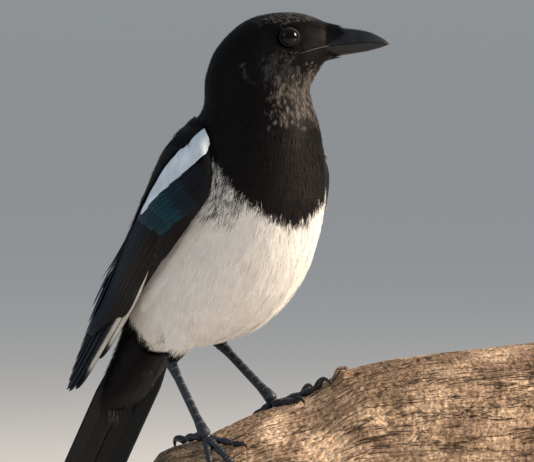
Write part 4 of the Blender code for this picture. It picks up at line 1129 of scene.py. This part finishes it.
def buildEyes():
    for name, hand in (("left", 1), ("right", -1)):
        centre = onHead(0.0, hand * eye["out"], 0.0).reshape(3)
        axis = unit(headLeft * hand + headAhead * 0.18)
        turn = Vector(axis).to_track_quat("Z", "Y").to_euler()
        deselectAll()
        bpy.ops.mesh.primitive_uv_sphere_add(segments=64, ring_count=48, radius=eye["radius"] * mm,
                                             location=toRow(centre), rotation=turn)
        ball = bpy.context.active_object
        ball.name = ball.data.name = f"eye_ball_{name}"
        bpy.ops.object.transform_apply(location=True, rotation=True, scale=True)
        bpy.ops.object.shade_smooth()
        ball.data.materials.append(eyeMaterial(name, centre, axis))
        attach(ball, "root")
        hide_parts(f"eye_{name}")
        # the lid is a dark oval hoop in a thin pale beaded one
        side = unit(np.cross(headUp, axis))
        up = np.cross(axis, side)
        for hoop in eye["hoops"]:
            rings, tints = [], []
            for k in range(96):
                angle = 2 * np.pi * k / 96
                inner, outer = (
                    side * math.cos(angle) * oval[0] + up * math.sin(angle) * oval[1]
                    for oval in (eye["opening"], eye["outline"])
                )
                inner = inner + axis * math.sqrt(eye["radius"] ** 2 - inner @ inner)
                outer = outer + axis * eye["outlineAt"]
                first, last = (mix(inner, outer, share) for share in hoop["share"])
                across = unit(last - first)
                over = unit(axis - across * (across @ axis))
                thick = hoop["thick"] * (1 + hoop["bead"] * math.sin(angle * 32))
                middle = centre + (first + last) / 2 + over * hoop["over"]
                rings.append(ringAt(middle, across, over, np.linalg.norm(last - first) / 2 + 0.05, thick, 12))
                # painted light: each hoop is lighter towards one side, its lit side, and beaded lighter and darker
                # round it
                fade = 0.35 + 0.65 * max(0.0, math.cos(angle + 0.9 * hand)) + 0.25 * math.sin(angle * 32)
                tints.append(np.tile(np.array(hoop["colour"]) * max(0.2, fade), (12, 1)))
            rings.append(rings[0])
            tints.append(tints[0])
            made = gridPiece(f"eye_{hoop['name']}_{name}", rings, lidMaterial, tint=tints, capped=False)
            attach(made, "root")


def eyeMaterial(name, centre, axis):
    material = newMaterial(f"eye_{name}", Roughness=0.04, IOR=1.38, Specular_IOR_Level=0.25)
    where = node(material, "ShaderNodeTexCoord").outputs["Object"]
    pupil = toRow(centre + axis * eye["radius"])
    gap = node(material, "ShaderNodeVectorMath", {"#0": where}, operation="DISTANCE")
    gap.inputs[1].default_value = pupil
    size = node(material, "ShaderNodeMath", {"#0": gap.outputs["Value"]}, operation="MULTIPLY")
    size.inputs[1].default_value = 1 / (6.0 * mm)
    connect(material, ramp(material, size.outputs[0], (
        (0.0, (0.001, 0.001, 0.001)), (0.40, (0.001, 0.001, 0.001)), (0.46, (0.006, 0.003, 0.002)),
        (0.75, (0.004, 0.0025, 0.002)), (1.0, (0.002, 0.0015, 0.0015)))), "Base Color")
    return material


lidMaterial = tintedMaterial("eyeLid", 0.4, 1500.0, Roughness=0.6, Specular_IOR_Level=0.12)
lidNoise = node(lidMaterial, "ShaderNodeTexNoise", {"Vector": objectPlace(lidMaterial)}, Scale=1500.0, Detail=2.0)
bump(lidMaterial, lidNoise.outputs["Fac"], 0.15 * mm)


# Bristles over the root of the bill, and soft plumes about the wings' edges

def buildBristles(tree):
    # rooted all over the bill's base, and laid forward to a rim that is furthest at the upper half's mid height
    count = 4200
    share = rng.uniform(-1, 1, count)  # from the keel (-1) over the bill's edge (0) to its ridge (1)
    hand = np.where(rng.random(count) < 0.5, -1.0, 1.0)
    rim = np.interp(share, (-1.0, -0.7, -0.35, 0.0, 0.12, 0.30, 0.45, 0.75, 1.0),
                    (27.0, 23.5, 20.5, 17.5, 20.0, 27.0, 29.2, 27.5, 26.0))
    tipAhead = rim - rng.uniform(0, 1, count) ** 1.4 * 13.0
    lengths = rng.uniform(4.5, 6.5, count)
    ahead = tipAhead - lengths * 0.97

    def onBill(ahead, share, hand, off):
        # past the face the bill's own section, and behind its front the face's
        cut = curve(bill["cutting"], ahead)
        far = np.where(share > 0, curve(bill["culmen"], ahead), curve(bill["keel"], ahead))
        angle = share * np.pi / 2
        wide = curve(bill["width"], ahead) * np.cos(angle) ** 0.9
        up = cut + (far - cut) * np.abs(np.sin(angle)) ** 1.1
        rise = np.maximum(0, 20.5 - ahead)
        place = onHead(ahead, hand * (wide + rise * 0.22 * np.cos(angle)), up + rise * 0.34 * np.sin(angle))
        out = unit(headLeft * (hand * np.cos(angle))[:, None] + headUp * np.sin(angle)[:, None])
        return place + out * off, out

    roots, outs = onBill(ahead, share, hand, 0.15)
    ends, _ = onBill(tipAhead, np.where(share > 0, np.maximum(share - 0.05, 0.02), share), hand, 0.55)
    ways = unit(ends - roots)
    outs = unit(outs - ways * (outs * ways).sum(1, keepdims=True))
    tint = np.array(marks["black"])[None] * rng.uniform(0.7, 1.5, (count, 1))
    fleck = rng.random(count) < 0.012
    tint[fleck] = marks["paleGlintAndFleck"]
    pieces = layTufts("coat_bristles", blackCoat, roots, outs, ways, np.zeros(count), lengths,
                      np.full(count, 0.20), np.full(count, 0.45), 4, tint, 1.3, 0.10, bends=2)


def mantleRise(s):
    # how far the mantle's plumes stand over the wing's bed
    return np.interp(s, (-0.12, -0.03, 0.05, 0.12, 0.30, 0.45, 0.60), (0.0, 0.2, 1.0, 2.4, 2.8, 1.8, 0.6))


def buildWingPlumes(wings, tree):
    # flank plumes that overlap the wing's lower edge, and the mantle's that overlap its upper edge
    for wing in wings:
        side = "right" if wing.hand < 0 else "left"
        near = wing.hand < 0
        rows = (
            # s and t of the roots, s and t from root to tip, count, length, height over the surface, and colour
            {"name": "flank", "s": (0.04, 0.60), "t": (-0.11, -0.04), "to": (0.10, 0.03), "count": 620, "length": 8.0,
             "height": 0.9, "colour": marks["white"], "material": whiteCoat, "slot": "white_plumage"},
            {"name": "shoulder", "s": (-0.12, 0.05), "t": (-0.16, 0.03), "to": (0.10, 0.02),
             "count": 420 if near else 160, "length": 8.5, "height": 1.4, "colour": marks["white"],
             "material": whiteCoat, "slot": "white_plumage"},
            {"name": "mantle", "s": (-0.12, 0.50), "t": (0.64, 1.06), "to": (0.12, -0.01), "count": 2600,
             "length": 9.0, "height": 0.7, "colour": marks["black"], "material": blackCoat,
             "slot": "black_plumage"},
        )
        for row in rows:
            count = row["count"]
            s = rng.uniform(*row["s"], count)
            t = rng.uniform(*row["t"], count)
            toS, toT = s + row["to"][0], t + row["to"][1]
            if row["name"] == "mantle":
                t = np.maximum(t, np.interp(s, (-0.12, -0.06, 0.0, 0.06, 0.30, 0.42), (0.50, 0.69, 0.75, 0.76, 0.68, 0.80)))
                roots, outs = wing.at(s, t, wingBed(s, t) + mantleRise(s))
                ends = wing.at(toS, t + row["to"][1], wingBed(toS, t) + mantleRise(toS))[0]
            else:
                # rooted in the body's skin beside the wing
                found = [tree.find_nearest(Vector(toRow(p)))[:2] for p in wing.at(s, t, np.zeros(count))[0]]
                roots = np.array([toBird(place) for place, _ in found])
                outs = np.array([normal for _, normal in found])
                ends = wing.at(toS, toT, np.full(count, 0.4))[0]
            ways = unit(unit(ends - roots) + rng.normal(0, 0.06, roots.shape))
            outs = unit(outs - ways * (ways * outs).sum(1, keepdims=True))
            lengths = row["length"] * rng.uniform(0.7, 1.1, count)
            tint = np.tile(row["colour"], (count, 1)).astype(float)
            if row["name"] != "mantle":
                dark = rng.random(count) < smoothStep(0.16, -0.02, s) * 0.5
                tint[dark] = marks["darkStripe"]
            pieces = layTufts(f"coat_{row['name']}_{side}", row["material"], roots, outs, ways, np.zeros(count),
                              lengths, np.full(count, 0.34), np.full(count, row["height"]), 8, tint, 1.05, 0.20,
                              bends=3)


# Log: the perch's own surface, finer, weathered and cracked

log = {"from": np.array([66.5, -13.5, 0.0]), "heading": 65.0}
logTurn = math.radians(log["heading"])
logAlong = np.array([math.cos(logTurn), math.sin(logTurn), 0.0])
logAcross = np.array([math.sin(logTurn), -math.cos(logTurn), 0.0])
log["top"] = ((-31, -64.0), (-26, -58.0), (-4, -51.0), (25, -39.0), (46, -33.0), (62, -23.5), (73, -18.0),
              (102, -12.5), (139, -9.0), (182, -5.0))
log["knob"] = (66.5, 1.45, 4.2, 6.0, 4.6)  # place along the log, turn, half length, half width, height
log["radius"] = ((-31, 14.0), (-26, 18.0), (-10, 22.5), (20, 27.5), (49, 32.0), (90, 37.0), (182, 41.0))


def buildLog():
    rows, sides = 240, 360
    at = np.linspace(-31, 182, rows)
    angle = 2 * np.pi * np.arange(sides) / sides - np.pi / 2
    radius = curve(log["radius"], at)
    centre = log["from"] + logAlong * at[:, None]
    centre[:, 2] = curve(log["top"], at) - radius
    A, T = np.meshgrid(at, angle, indexing="ij")
    lowSide = 0.5 - 0.5 * np.sin(T)
    swell = 0.045 * np.sin(3 * T + A * 0.021) + 0.03 * np.sin(5 * T - A * 0.035)
    reach = radius[:, None] * (1 + swell * lowSide)
    grain = np.stack([A * 0.016, np.cos(T) * 2.4, np.sin(T) * 2.4], axis=-1).reshape(-1, 3)
    fine = np.stack([A * 0.06, np.cos(T) * 11, np.sin(T) * 11], axis=-1).reshape(-1, 3)
    broad = fractal(grain, 1.0, 3, 4.0).reshape(A.shape)
    ridge = fractal(fine, 1.0, 3, 9.0).reshape(A.shape)
    crack = fractal(grain * (1.0, 1.9, 1.9), 1.0, 2, 21.0).reshape(A.shape)
    crack = np.exp(-((crack / 0.035) ** 2)) * smoothStep(-0.1, 0.25, broad)
    grains = np.stack([A * 0.45, np.cos(T) * 17, np.sin(T) * 17], axis=-1).reshape(-1, 3)
    grains = fractal(grains, 1.0, 3, 31.0).reshape(A.shape)
    knots = np.zeros_like(A)
    for place, turn, size in ((66.0, 2.2, 9.0), (118.0, 0.9, 12.0), (30.0, 0.4, 8.0), (150.0, 2.6, 10.0)):
        gap = np.hypot(A - place, (np.angle(np.exp(1j * (T - turn)))) * radius[:, None]) / size
        knots += 0.9 * np.exp(-gap**2) - 1.3 * np.exp(-(gap / 0.4) ** 2)
    topSide = smoothStep(0.2, 0.8, np.sin(T))
    depth = 0.55 * broad + 0.8 * ridge + 0.75 * grains - 1.9 * crack * (1 - 0.75 * topSide) + knots * (1 - topSide)
    reach = reach + np.minimum(depth, 0.35 + 0.9 * (1 - topSide))
    place, turn, long, wide, high = log["knob"]
    gap = np.hypot((A - place) / long, (T - turn) * radius[:, None] / wide)
    reach = reach + high * np.exp(-gap**4) * (1 + 0.25 * grains)
    spokes = logAcross * np.cos(T)[..., None] + np.array([0, 0, 1.0]) * np.sin(T)[..., None]
    rings = centre[:, None] + spokes * reach[..., None]
    # rough broken ends
    for end, sign in ((0, 1), (rows - 1, -1)):
        rough = fractal(rings[end], 6.0, 3, 2.0)
        rings[end] += logAlong * (sign * (1.2 + 1.5 * rough))[:, None]
    caps = []
    for end, sign in ((0, 1), (rows - 1, -1)):
        stack = []
        for share in (0.97, 0.9, 0.78, 0.62, 0.45, 0.28, 0.12, 0.03):
            ring = centre[end] + (rings[end] - centre[end]) * share
            rough = fractal(ring, 5.0, 3, 6.0)
            ring = ring + logAlong * (sign * (0.8 + 1.6 * rough * min(1, share * 2)))[:, None]
            stack.append(ring)
        caps.append(stack)
    rings = caps[0][::-1] + list(rings) + caps[1]
    piece = gridPiece("log_wood", rings, logMaterial)
    points, normals, _ = meshArrays(piece)
    tone = fractal(points, 22.0, 5, 3.0)
    # painted light: the wood is painted lighter where its surface faces up, over its own patchy tone
    colour = mix((0.20, 0.135, 0.085), (0.44, 0.32, 0.21), smoothStep(-0.45, 0.45, tone + 0.2 * normals[:, 2]))
    place = (points - log["from"]) @ logAlong
    dark = smoothStep(-8, -24, place) * smoothStep(-0.4, 0.4, fractal(points, 9.0, 3, 8.0) + 0.3)
    colour = mix(colour, (0.085, 0.064, 0.045), dark * 0.8)
    colour = colour * (1 + 0.75 * smoothStep(95, 40, place))[:, None]
    paintPiece(piece, colour)
    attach(piece, "root")
    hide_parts("perch_log")
    return piece


# The wood's fibres, cracks and grains, laid out on the log's own round and length
logMaterial = newMaterial("weatheredWood", Roughness=0.9, Specular_IOR_Level=0.25)
logUv = node(logMaterial, "ShaderNodeUVMap", uv_map="UVMap").outputs["UV"]
logFinal = node(logMaterial, "ShaderNodeAttribute", attribute_name="tint").outputs["Color"]
logLayers = {
    # scale round and along the log, detail, distortion, and shades from low to high
    "fibre": ((190.0, 13.0), 6.0, 0.15, (
        (0.30, (0.40, 0.36, 0.33)), (0.46, (0.85, 0.83, 0.80)), (0.56, (1, 1, 1)), (0.70, (1, 1, 1)))),
    "grain": ((150.0, 130.0), 5.0, 0.0, (
        (0.34, (0.30, 0.26, 0.23)), (0.45, (0.80, 0.77, 0.74)), (0.55, (1, 1, 1)), (0.66, (1, 1, 1)))),
    "crack": ((26.0, 2.6), 4.0, 0.5, (
        (0.484, (1, 1, 1)), (0.497, (0.10, 0.08, 0.07)), (0.503, (0.10, 0.08, 0.07)), (0.516, (1, 1, 1)))),
}
logHeights = {}
for logLayer, (logScale, logDetail, logBend, logStops) in logLayers.items():
    logPlace = node(logMaterial, "ShaderNodeMapping", {"Vector": logUv})
    logPlace.inputs["Scale"].default_value = (*logScale, 1.0)
    logPlace.inputs["Location"].default_value = (len(logHeights) * 3.7, 0.0, 0.0)
    logNoise = node(logMaterial, "ShaderNodeTexNoise", {"Vector": logPlace.outputs[0]}, Scale=1.0, Detail=logDetail,
                    Roughness=0.65, Distortion=logBend)
    logShade = ramp(logMaterial, logNoise.outputs["Fac"], logStops)
    logHeights[logLayer] = logShade
    logMixed = node(logMaterial, "ShaderNodeMix", {"#6": logFinal, "#7": logShade}, data_type="RGBA",
                    blend_type="MULTIPLY")
    logMixed.inputs["Factor"].default_value = 0.95
    logFinal = logMixed.outputs[2]
logGain = node(logMaterial, "ShaderNodeMix", {"#6": logFinal}, data_type="RGBA", blend_type="MULTIPLY")
logGain.inputs["Factor"].default_value = 1.0
logGain.inputs[7].default_value = (1.6, 1.6, 1.68, 1)
connect(logMaterial, logGain.outputs[2], "Base Color")
logRelief = node(logMaterial, "ShaderNodeMix", {"#6": logHeights["fibre"], "#7": logHeights["grain"]},
                 data_type="RGBA", blend_type="MULTIPLY")
logRelief.inputs["Factor"].default_value = 1.0
logDeep = node(logMaterial, "ShaderNodeMix", {"#6": logRelief.outputs[2], "#7": logHeights["crack"]},
               data_type="RGBA", blend_type="MULTIPLY")
logDeep.inputs["Factor"].default_value = 1.0
bump(logMaterial, logDeep.outputs[2], 1.1 * mm)


# Legs: scaled shanks and toes, with hooked claws

legs = {
    "right": {"heel": (40.0, -19.0, -15.0), "foot": (70.5, -21.0), "lift": 5.6, "hand": -1.0, "turn": -12.0},
    "left": {"heel": (33.0, 19.0, -6.2), "foot": (72.6, 22.0), "lift": 6.8, "hand": 1.0, "turn": 32.0},
}
legTint = {"base": (0.015, 0.019, 0.027), "edge": (0.10, 0.10, 0.10), "under": (0.011, 0.012, 0.015)}
toes = {
    "hind": {"turn": 162.0, "length": 17.0, "claw": 11.5, "thick": 1.1},
    "inner": {"turn": -30.0, "length": 19.0, "claw": 9.0, "thick": 0.95},
    "middle": {"turn": 0.0, "length": 27.0, "claw": 9.5, "thick": 1.0},
    "outer": {"turn": 28.0, "length": 20.5, "claw": 8.5, "thick": 0.9},
}
toeRadius, tarsusRadius = 1.80, 2.15


def traceOver(tree, start, heading, length, count):
    # points and the way out along the log, keeping to a heading
    hit, normal, _, _ = tree.find_nearest(Vector(toRow(start)))
    point, normal = toBird(hit), np.array(normal)
    found = [(point, normal)]
    for _ in range(count):
        level = unit(heading - normal * (heading @ normal))
        hit, normal, _, _ = tree.find_nearest(Vector(toRow(point + level * length / count)))
        new, normal = toBird(hit), np.array(normal)
        heading = unit(new - point)
        point = new
        found.append((point, normal))
    return found


def smoothPath(points, count):
    # the same path with more points, rounded
    points = np.asarray(points, dtype=float)
    place = np.concatenate([[0], np.cumsum(np.linalg.norm(np.diff(points, axis=0), axis=1))])
    at = np.linspace(0, place[-1], count)
    path = np.stack([curve(list(zip(place, points[:, k])), at) for k in range(3)], axis=1)
    return path, at


def tubeRings(path, radii, up, sides=20, flat=1.0):
    rings = []
    ahead = unit(np.gradient(path, axis=0))
    for point, way, radius in zip(path, ahead, radii):
        side = unit(np.cross(way, up))
        over = np.cross(side, way)
        rings.append(ringAt(point, side, over, radius, radius * flat, sides))
    return rings


def buildLegs(tree):
    up = np.array([0.0, 0.0, 1.0])
    for name, leg in legs.items():
        start = Vector(toRow((leg["foot"][0], leg["foot"][1], 200.0)))
        hit, normal, _, _ = tree.ray_cast(start, Vector((0, 0, -1)))
        ground, normal = toBird(hit), np.array(normal)
        root = ground + normal * leg["lift"]
        heel = np.array(leg["heel"])
        shin = unit(heel - root)
        pieces = []
        # the shank has broad scutes down its front, each a little step
        path = root + np.outer(np.linspace(-1.0, np.linalg.norm(heel - root) + 3.0, 150), shin)
        far = np.linspace(0, 1, 150)
        radii = tarsusRadius * np.interp(far, (0, 0.08, 0.2, 0.75, 0.9, 1), (1.45, 1.3, 1.02, 0.98, 1.25, 1.5))
        scute = (far * 9.5) % 1.0
        rings, tints = [], []
        forward = unit(np.array([0.9, leg["hand"] * 0.1, 0.2]) - shin * (np.array([0.9, leg["hand"] * 0.1, 0.2]) @ shin))
        side = np.cross(shin, forward)
        for point, radius, part in zip(path, radii, scute):
            ring = ringAt(np.zeros(3), forward, side, 1.12, 0.92, 28)
            front = np.clip(ring @ forward, 0, 1)
            step = 0.16 * (part - 0.5) * smoothStep(0.1, 0.6, front) - 0.14 * np.exp(-((part / 0.06) ** 2)) * smoothStep(0.1, 0.5, front)
            rings.append(point + ring * (radius + step)[:, None])
            pale = np.exp(-((part - 0.10) / 0.07) ** 2) * smoothStep(0.05, 0.5, front)
            tints.append(mix(legTint["base"], legTint["edge"], pale * 0.8))
        pieces.append(gridPiece(f"shank_{name}", rings, legMaterial, tint=tints))
        deselectAll()
        bpy.ops.mesh.primitive_uv_sphere_add(segments=32, ring_count=20, radius=1, location=(0, 0, 0))
        knob = bpy.context.active_object
        knob.name = f"heel_joint_{name}"
        places = np.array([v.co for v in knob.data.vertices])
        knob.data.vertices.foreach_set("co", toRow(root + places * (3.5, 3.4, 3.1)).astype(np.float32).ravel())
        knob.data.shade_smooth()
        paintPiece(knob, np.tile(legTint["base"], (len(places), 1)) * 1.3)
        knob.data.materials.append(legMaterial)
        pieces.append(knob)
        for toeName, toe in toes.items():
            radius = toeRadius * toe["thick"]
            angle = math.radians(leg["turn"] + toe["turn"] * leg["hand"])
            heading = np.array([math.cos(angle), math.sin(angle), 0.0])
            track = traceOver(tree, ground, heading, toe["length"] + toe["claw"], 12)
            split = round(12 * toe["length"] / (toe["length"] + toe["claw"]))
            path = [p + n * (radius + 0.45) for p, n in track[:split + 1]]
            path[0] = root
            path, reach = smoothPath(path, 90)
            pads = 3 if toeName in ("hind", "inner") else 4
            phase = reach / reach[-1]
            knuckle = 1 + 0.13 * np.cos(2 * np.pi * phase * pads)
            radii = radius * knuckle * np.interp(phase, (0, 0.15, 0.85, 1), (1.35, 1.1, 0.95, 0.72))
            scale = (reach / 1.75) % 1.0
            middleNormal = track[split // 2][1]
            rings, tints = [], []
            ways = unit(np.gradient(path, axis=0))
            for point, way, size, part in zip(path, ways, radii, scale):
                side = unit(np.cross(way, middleNormal))
                over = np.cross(side, way)
                ring = ringAt(np.zeros(3), side, over, 1.0, 0.95, 24)
                top = np.clip(ring @ over, 0, 1)
                step = (0.20 * (part - 0.5) - 0.22 * np.exp(-((part / 0.12) ** 2))) * smoothStep(0.0, 0.5, top)
                pad = 0.12 * np.clip(-(ring @ over), 0, 1)
                rings.append(point + ring * (size + step + pad)[:, None])
                pale = np.exp(-((part - 0.14) / 0.12) ** 2) * smoothStep(0.1, 0.7, top)
                below = smoothStep(0.2, 0.9, -(ring @ over))
                tints.append(mix(mix(legTint["base"], legTint["edge"], pale * 0.75), legTint["under"], below))
            pieces.append(gridPiece(f"toe_{name}_{toeName}", rings, legMaterial, tint=tints))
            buildClaw(f"claw_{name}_{toeName}", track, split, path, radius, toe)
        for piece in pieces:
            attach(piece, "root")
        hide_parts(f"tarsus_{name}")
        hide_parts(f"foot_{name}")


def buildClaw(node_name, track, split, toePath, radius, toe):
    ahead = unit(toePath[-1] - toePath[-4])
    first = toePath[-1] - ahead * 0.8
    # it rises, hooks over and comes down on its point
    last = split + round((len(track) - 1 - split) * 0.62)
    landing = track[last][0] + track[last][1] * 0.3
    crest = first + ahead * toe["claw"] * 0.66 + track[split][1] * toe["claw"] * 0.52
    t = np.linspace(0, 1, 26)[:, None]
    path = first * (1 - t) ** 2 + crest * 2 * t * (1 - t) + landing * t * t
    radii = radius * 0.80 * (1 - t[:, 0]) ** 0.75 + 0.12
    piece = gridPiece(f"horn_{node_name}", tubeRings(path, radii, track[split][1], 18, 1.25), clawMaterial)
    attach(piece, "root")
    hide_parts(node_name)


legMaterial = tintedMaterial("legScales", 0.45, 500.0, Roughness=0.45, Specular_IOR_Level=0.35)
legCells = node(legMaterial, "ShaderNodeTexVoronoi", {"Vector": objectPlace(legMaterial)}, Scale=900.0)
bump(legMaterial, legCells.outputs["Distance"], 0.25 * mm, 0.8)
clawMaterial = newMaterial("clawHorn", Roughness=0.34, Specular_IOR_Level=0.35)
clawNoise = node(clawMaterial, "ShaderNodeTexNoise", {"Vector": objectPlace(clawMaterial)}, Scale=500.0, Detail=3.0)
connect(clawMaterial, ramp(clawMaterial, clawNoise.outputs["Fac"], (
    (0.3, (0.005, 0.005, 0.007)), (0.7, (0.014, 0.014, 0.018)))), "Base Color")


# Stand: the solids' own turned base and two rods, given wood and steel

stand = {"radius": 100.0, "height": 12.0}


def buildStand():
    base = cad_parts["stand_base"]
    base.data.materials.clear()
    base.data.materials.append(baseMaterial)
    for name in ("stand_rod_near", "stand_rod_far"):
        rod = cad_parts[name]
        rod.data.materials.clear()
        rod.data.materials.append(rodMaterial)


baseMaterial = newMaterial("standWood", Roughness=0.36, Coat_Weight=0.3, Coat_Roughness=0.2)
baseStretch = node(baseMaterial, "ShaderNodeMapping", {"Vector": objectPlace(baseMaterial)})
baseStretch.inputs["Scale"].default_value = (6.0, 90.0, 40.0)
baseGrain = node(baseMaterial, "ShaderNodeTexNoise", {"Vector": baseStretch.outputs[0]}, Scale=1.0, Detail=6.0, Distortion=0.4)
connect(baseMaterial, ramp(baseMaterial, baseGrain.outputs["Fac"], (
    (0.3, (0.020, 0.013, 0.009)), (0.7, (0.060, 0.038, 0.026)))), "Base Color")
bump(baseMaterial, baseGrain.outputs["Fac"], 0.15 * mm)
rodMaterial = newMaterial("standSteel", Base_Color=(0.42, 0.41, 0.39, 1), Roughness=0.3, Metallic=1.0)
rodNoise = node(rodMaterial, "ShaderNodeTexNoise", {"Vector": objectPlace(rodMaterial, (30, 30, 900))}, Scale=1.0, Detail=3.0)
bump(rodMaterial, rodNoise.outputs["Fac"], 0.03 * mm)


# Floor, light and camera

view = {
    "target": (-0.0163, -0.0025, 0.2713),
    "away": (0.766, -0.643, 0.0),
    "elevation": 2.0,
    "distance": 2.0,
    "lens": 262.9,
    "floor": (0.84, 0.80, 0.76),
    "sky": ((0.0, (0.663, 0.707, 0.744)), (0.5, (0.80, 0.90, 1.0))),
    "skyStrength": 0.40,
    # place to the right, towards the camera and up, size, power and colour of each lamp
    "lamps": {
        "key": (1.75, 0.10, 0.85, 0.8, 90.0, (1.0, 0.84, 0.68)),
        "fill": (-1.5, 1.0, 1.0, 1.4, 5.0, (0.62, 0.80, 1.0)),
        "rim": (0.4, -1.3, 1.3, 1.0, 5.0, (1.0, 0.94, 0.86)),
    },
}


def buildStudio():
    deselectAll()
    bpy.ops.mesh.primitive_grid_add(x_subdivisions=8, y_subdivisions=8, size=160, location=(0, 0, 0))
    floor = bpy.context.active_object
    floor.name = "floor"
    floor.data.materials.append(newMaterial("paleFloor", Base_Color=(*view["floor"], 1), Roughness=0.9,
                                            Specular_IOR_Level=0.0))
    # a plain sky, as dark at the horizon as the floor is there
    world = bpy.data.worlds.new("studio")
    world.use_nodes = True
    tree = world.node_tree
    where = tree.nodes.new("ShaderNodeTexCoord").outputs["Generated"]
    height = tree.nodes.new("ShaderNodeSeparateXYZ")
    tree.links.new(where, height.inputs[0])
    sky = tree.nodes.new("ShaderNodeValToRGB")
    tree.links.new(height.outputs["Z"], sky.inputs["Fac"])
    for element, (place, colour) in zip(sky.color_ramp.elements, view["sky"]):
        element.position, element.color = place, (*colour, 1)
    tree.links.new(sky.outputs["Color"], tree.nodes["Background"].inputs["Color"])
    tree.nodes["Background"].inputs["Strength"].default_value = view["skyStrength"]
    bpy.context.scene.world = world
    bpy.context.scene.view_settings.view_transform = "Standard"
    away = unit(np.array(view["away"]))
    right = np.array([-away[1], away[0], 0.0])
    target = np.array(view["target"])
    for name, (across, near, up, size, power, colour) in view["lamps"].items():
        place = target + right * across + away * near + np.array([0, 0, up])
        lamp = bpy.data.lights.new(name, "AREA")
        lamp.shape = "DISK"
        lamp.size, lamp.energy, lamp.color = size, power, colour
        made = bpy.data.objects.new(name, lamp)
        made.location = place
        made.rotation_euler = Vector(target - place).to_track_quat("-Z", "Y").to_euler()
        bpy.context.scene.collection.objects.link(made)
    tilt = math.radians(view["elevation"])
    direction = away * math.cos(tilt) + np.array([0, 0, math.sin(tilt)])
    camera = bpy.data.objects.new("camera", bpy.data.cameras.new("camera"))
    camera.data.lens = view["lens"]
    camera.data.sensor_width = 36
    camera.location = target + direction * view["distance"]
    camera.rotation_euler = Vector(-direction).to_track_quat("-Z", "Y").to_euler()
    bpy.context.scene.collection.objects.link(camera)
    bpy.context.scene.camera = camera


def main():
    print("skin")
    skinPiece, points, normals, triangles = buildSkin()
    tintSkin(skinPiece, points)
    skinTree = treeOf(skinPiece)
    bodyTree = treeOf(*[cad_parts[name] for name in ("head", "neck", "torso")])
    wings = [Wing(-1, bodyTree), Wing(1, bodyTree)]
    print("coat")
    buildCoat(points, normals, triangles, skinTree, wings)
    print("wings")
    for name, wing in (("right", wings[0]), ("left", wings[1])):
        buildWing(name, wing)
    buildWingPlumes(wings, skinTree)
    print("tail")
    buildTail()
    print("head details")
    buildBill()
    buildGape(skinTree)
    buildEyes()
    buildBristles(skinTree)
    print("log, legs and stand")
    buildLog()
    buildLegs(treeOf(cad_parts["perch_log"]))
    buildStand()
    print("studio")
    buildStudio()


main()
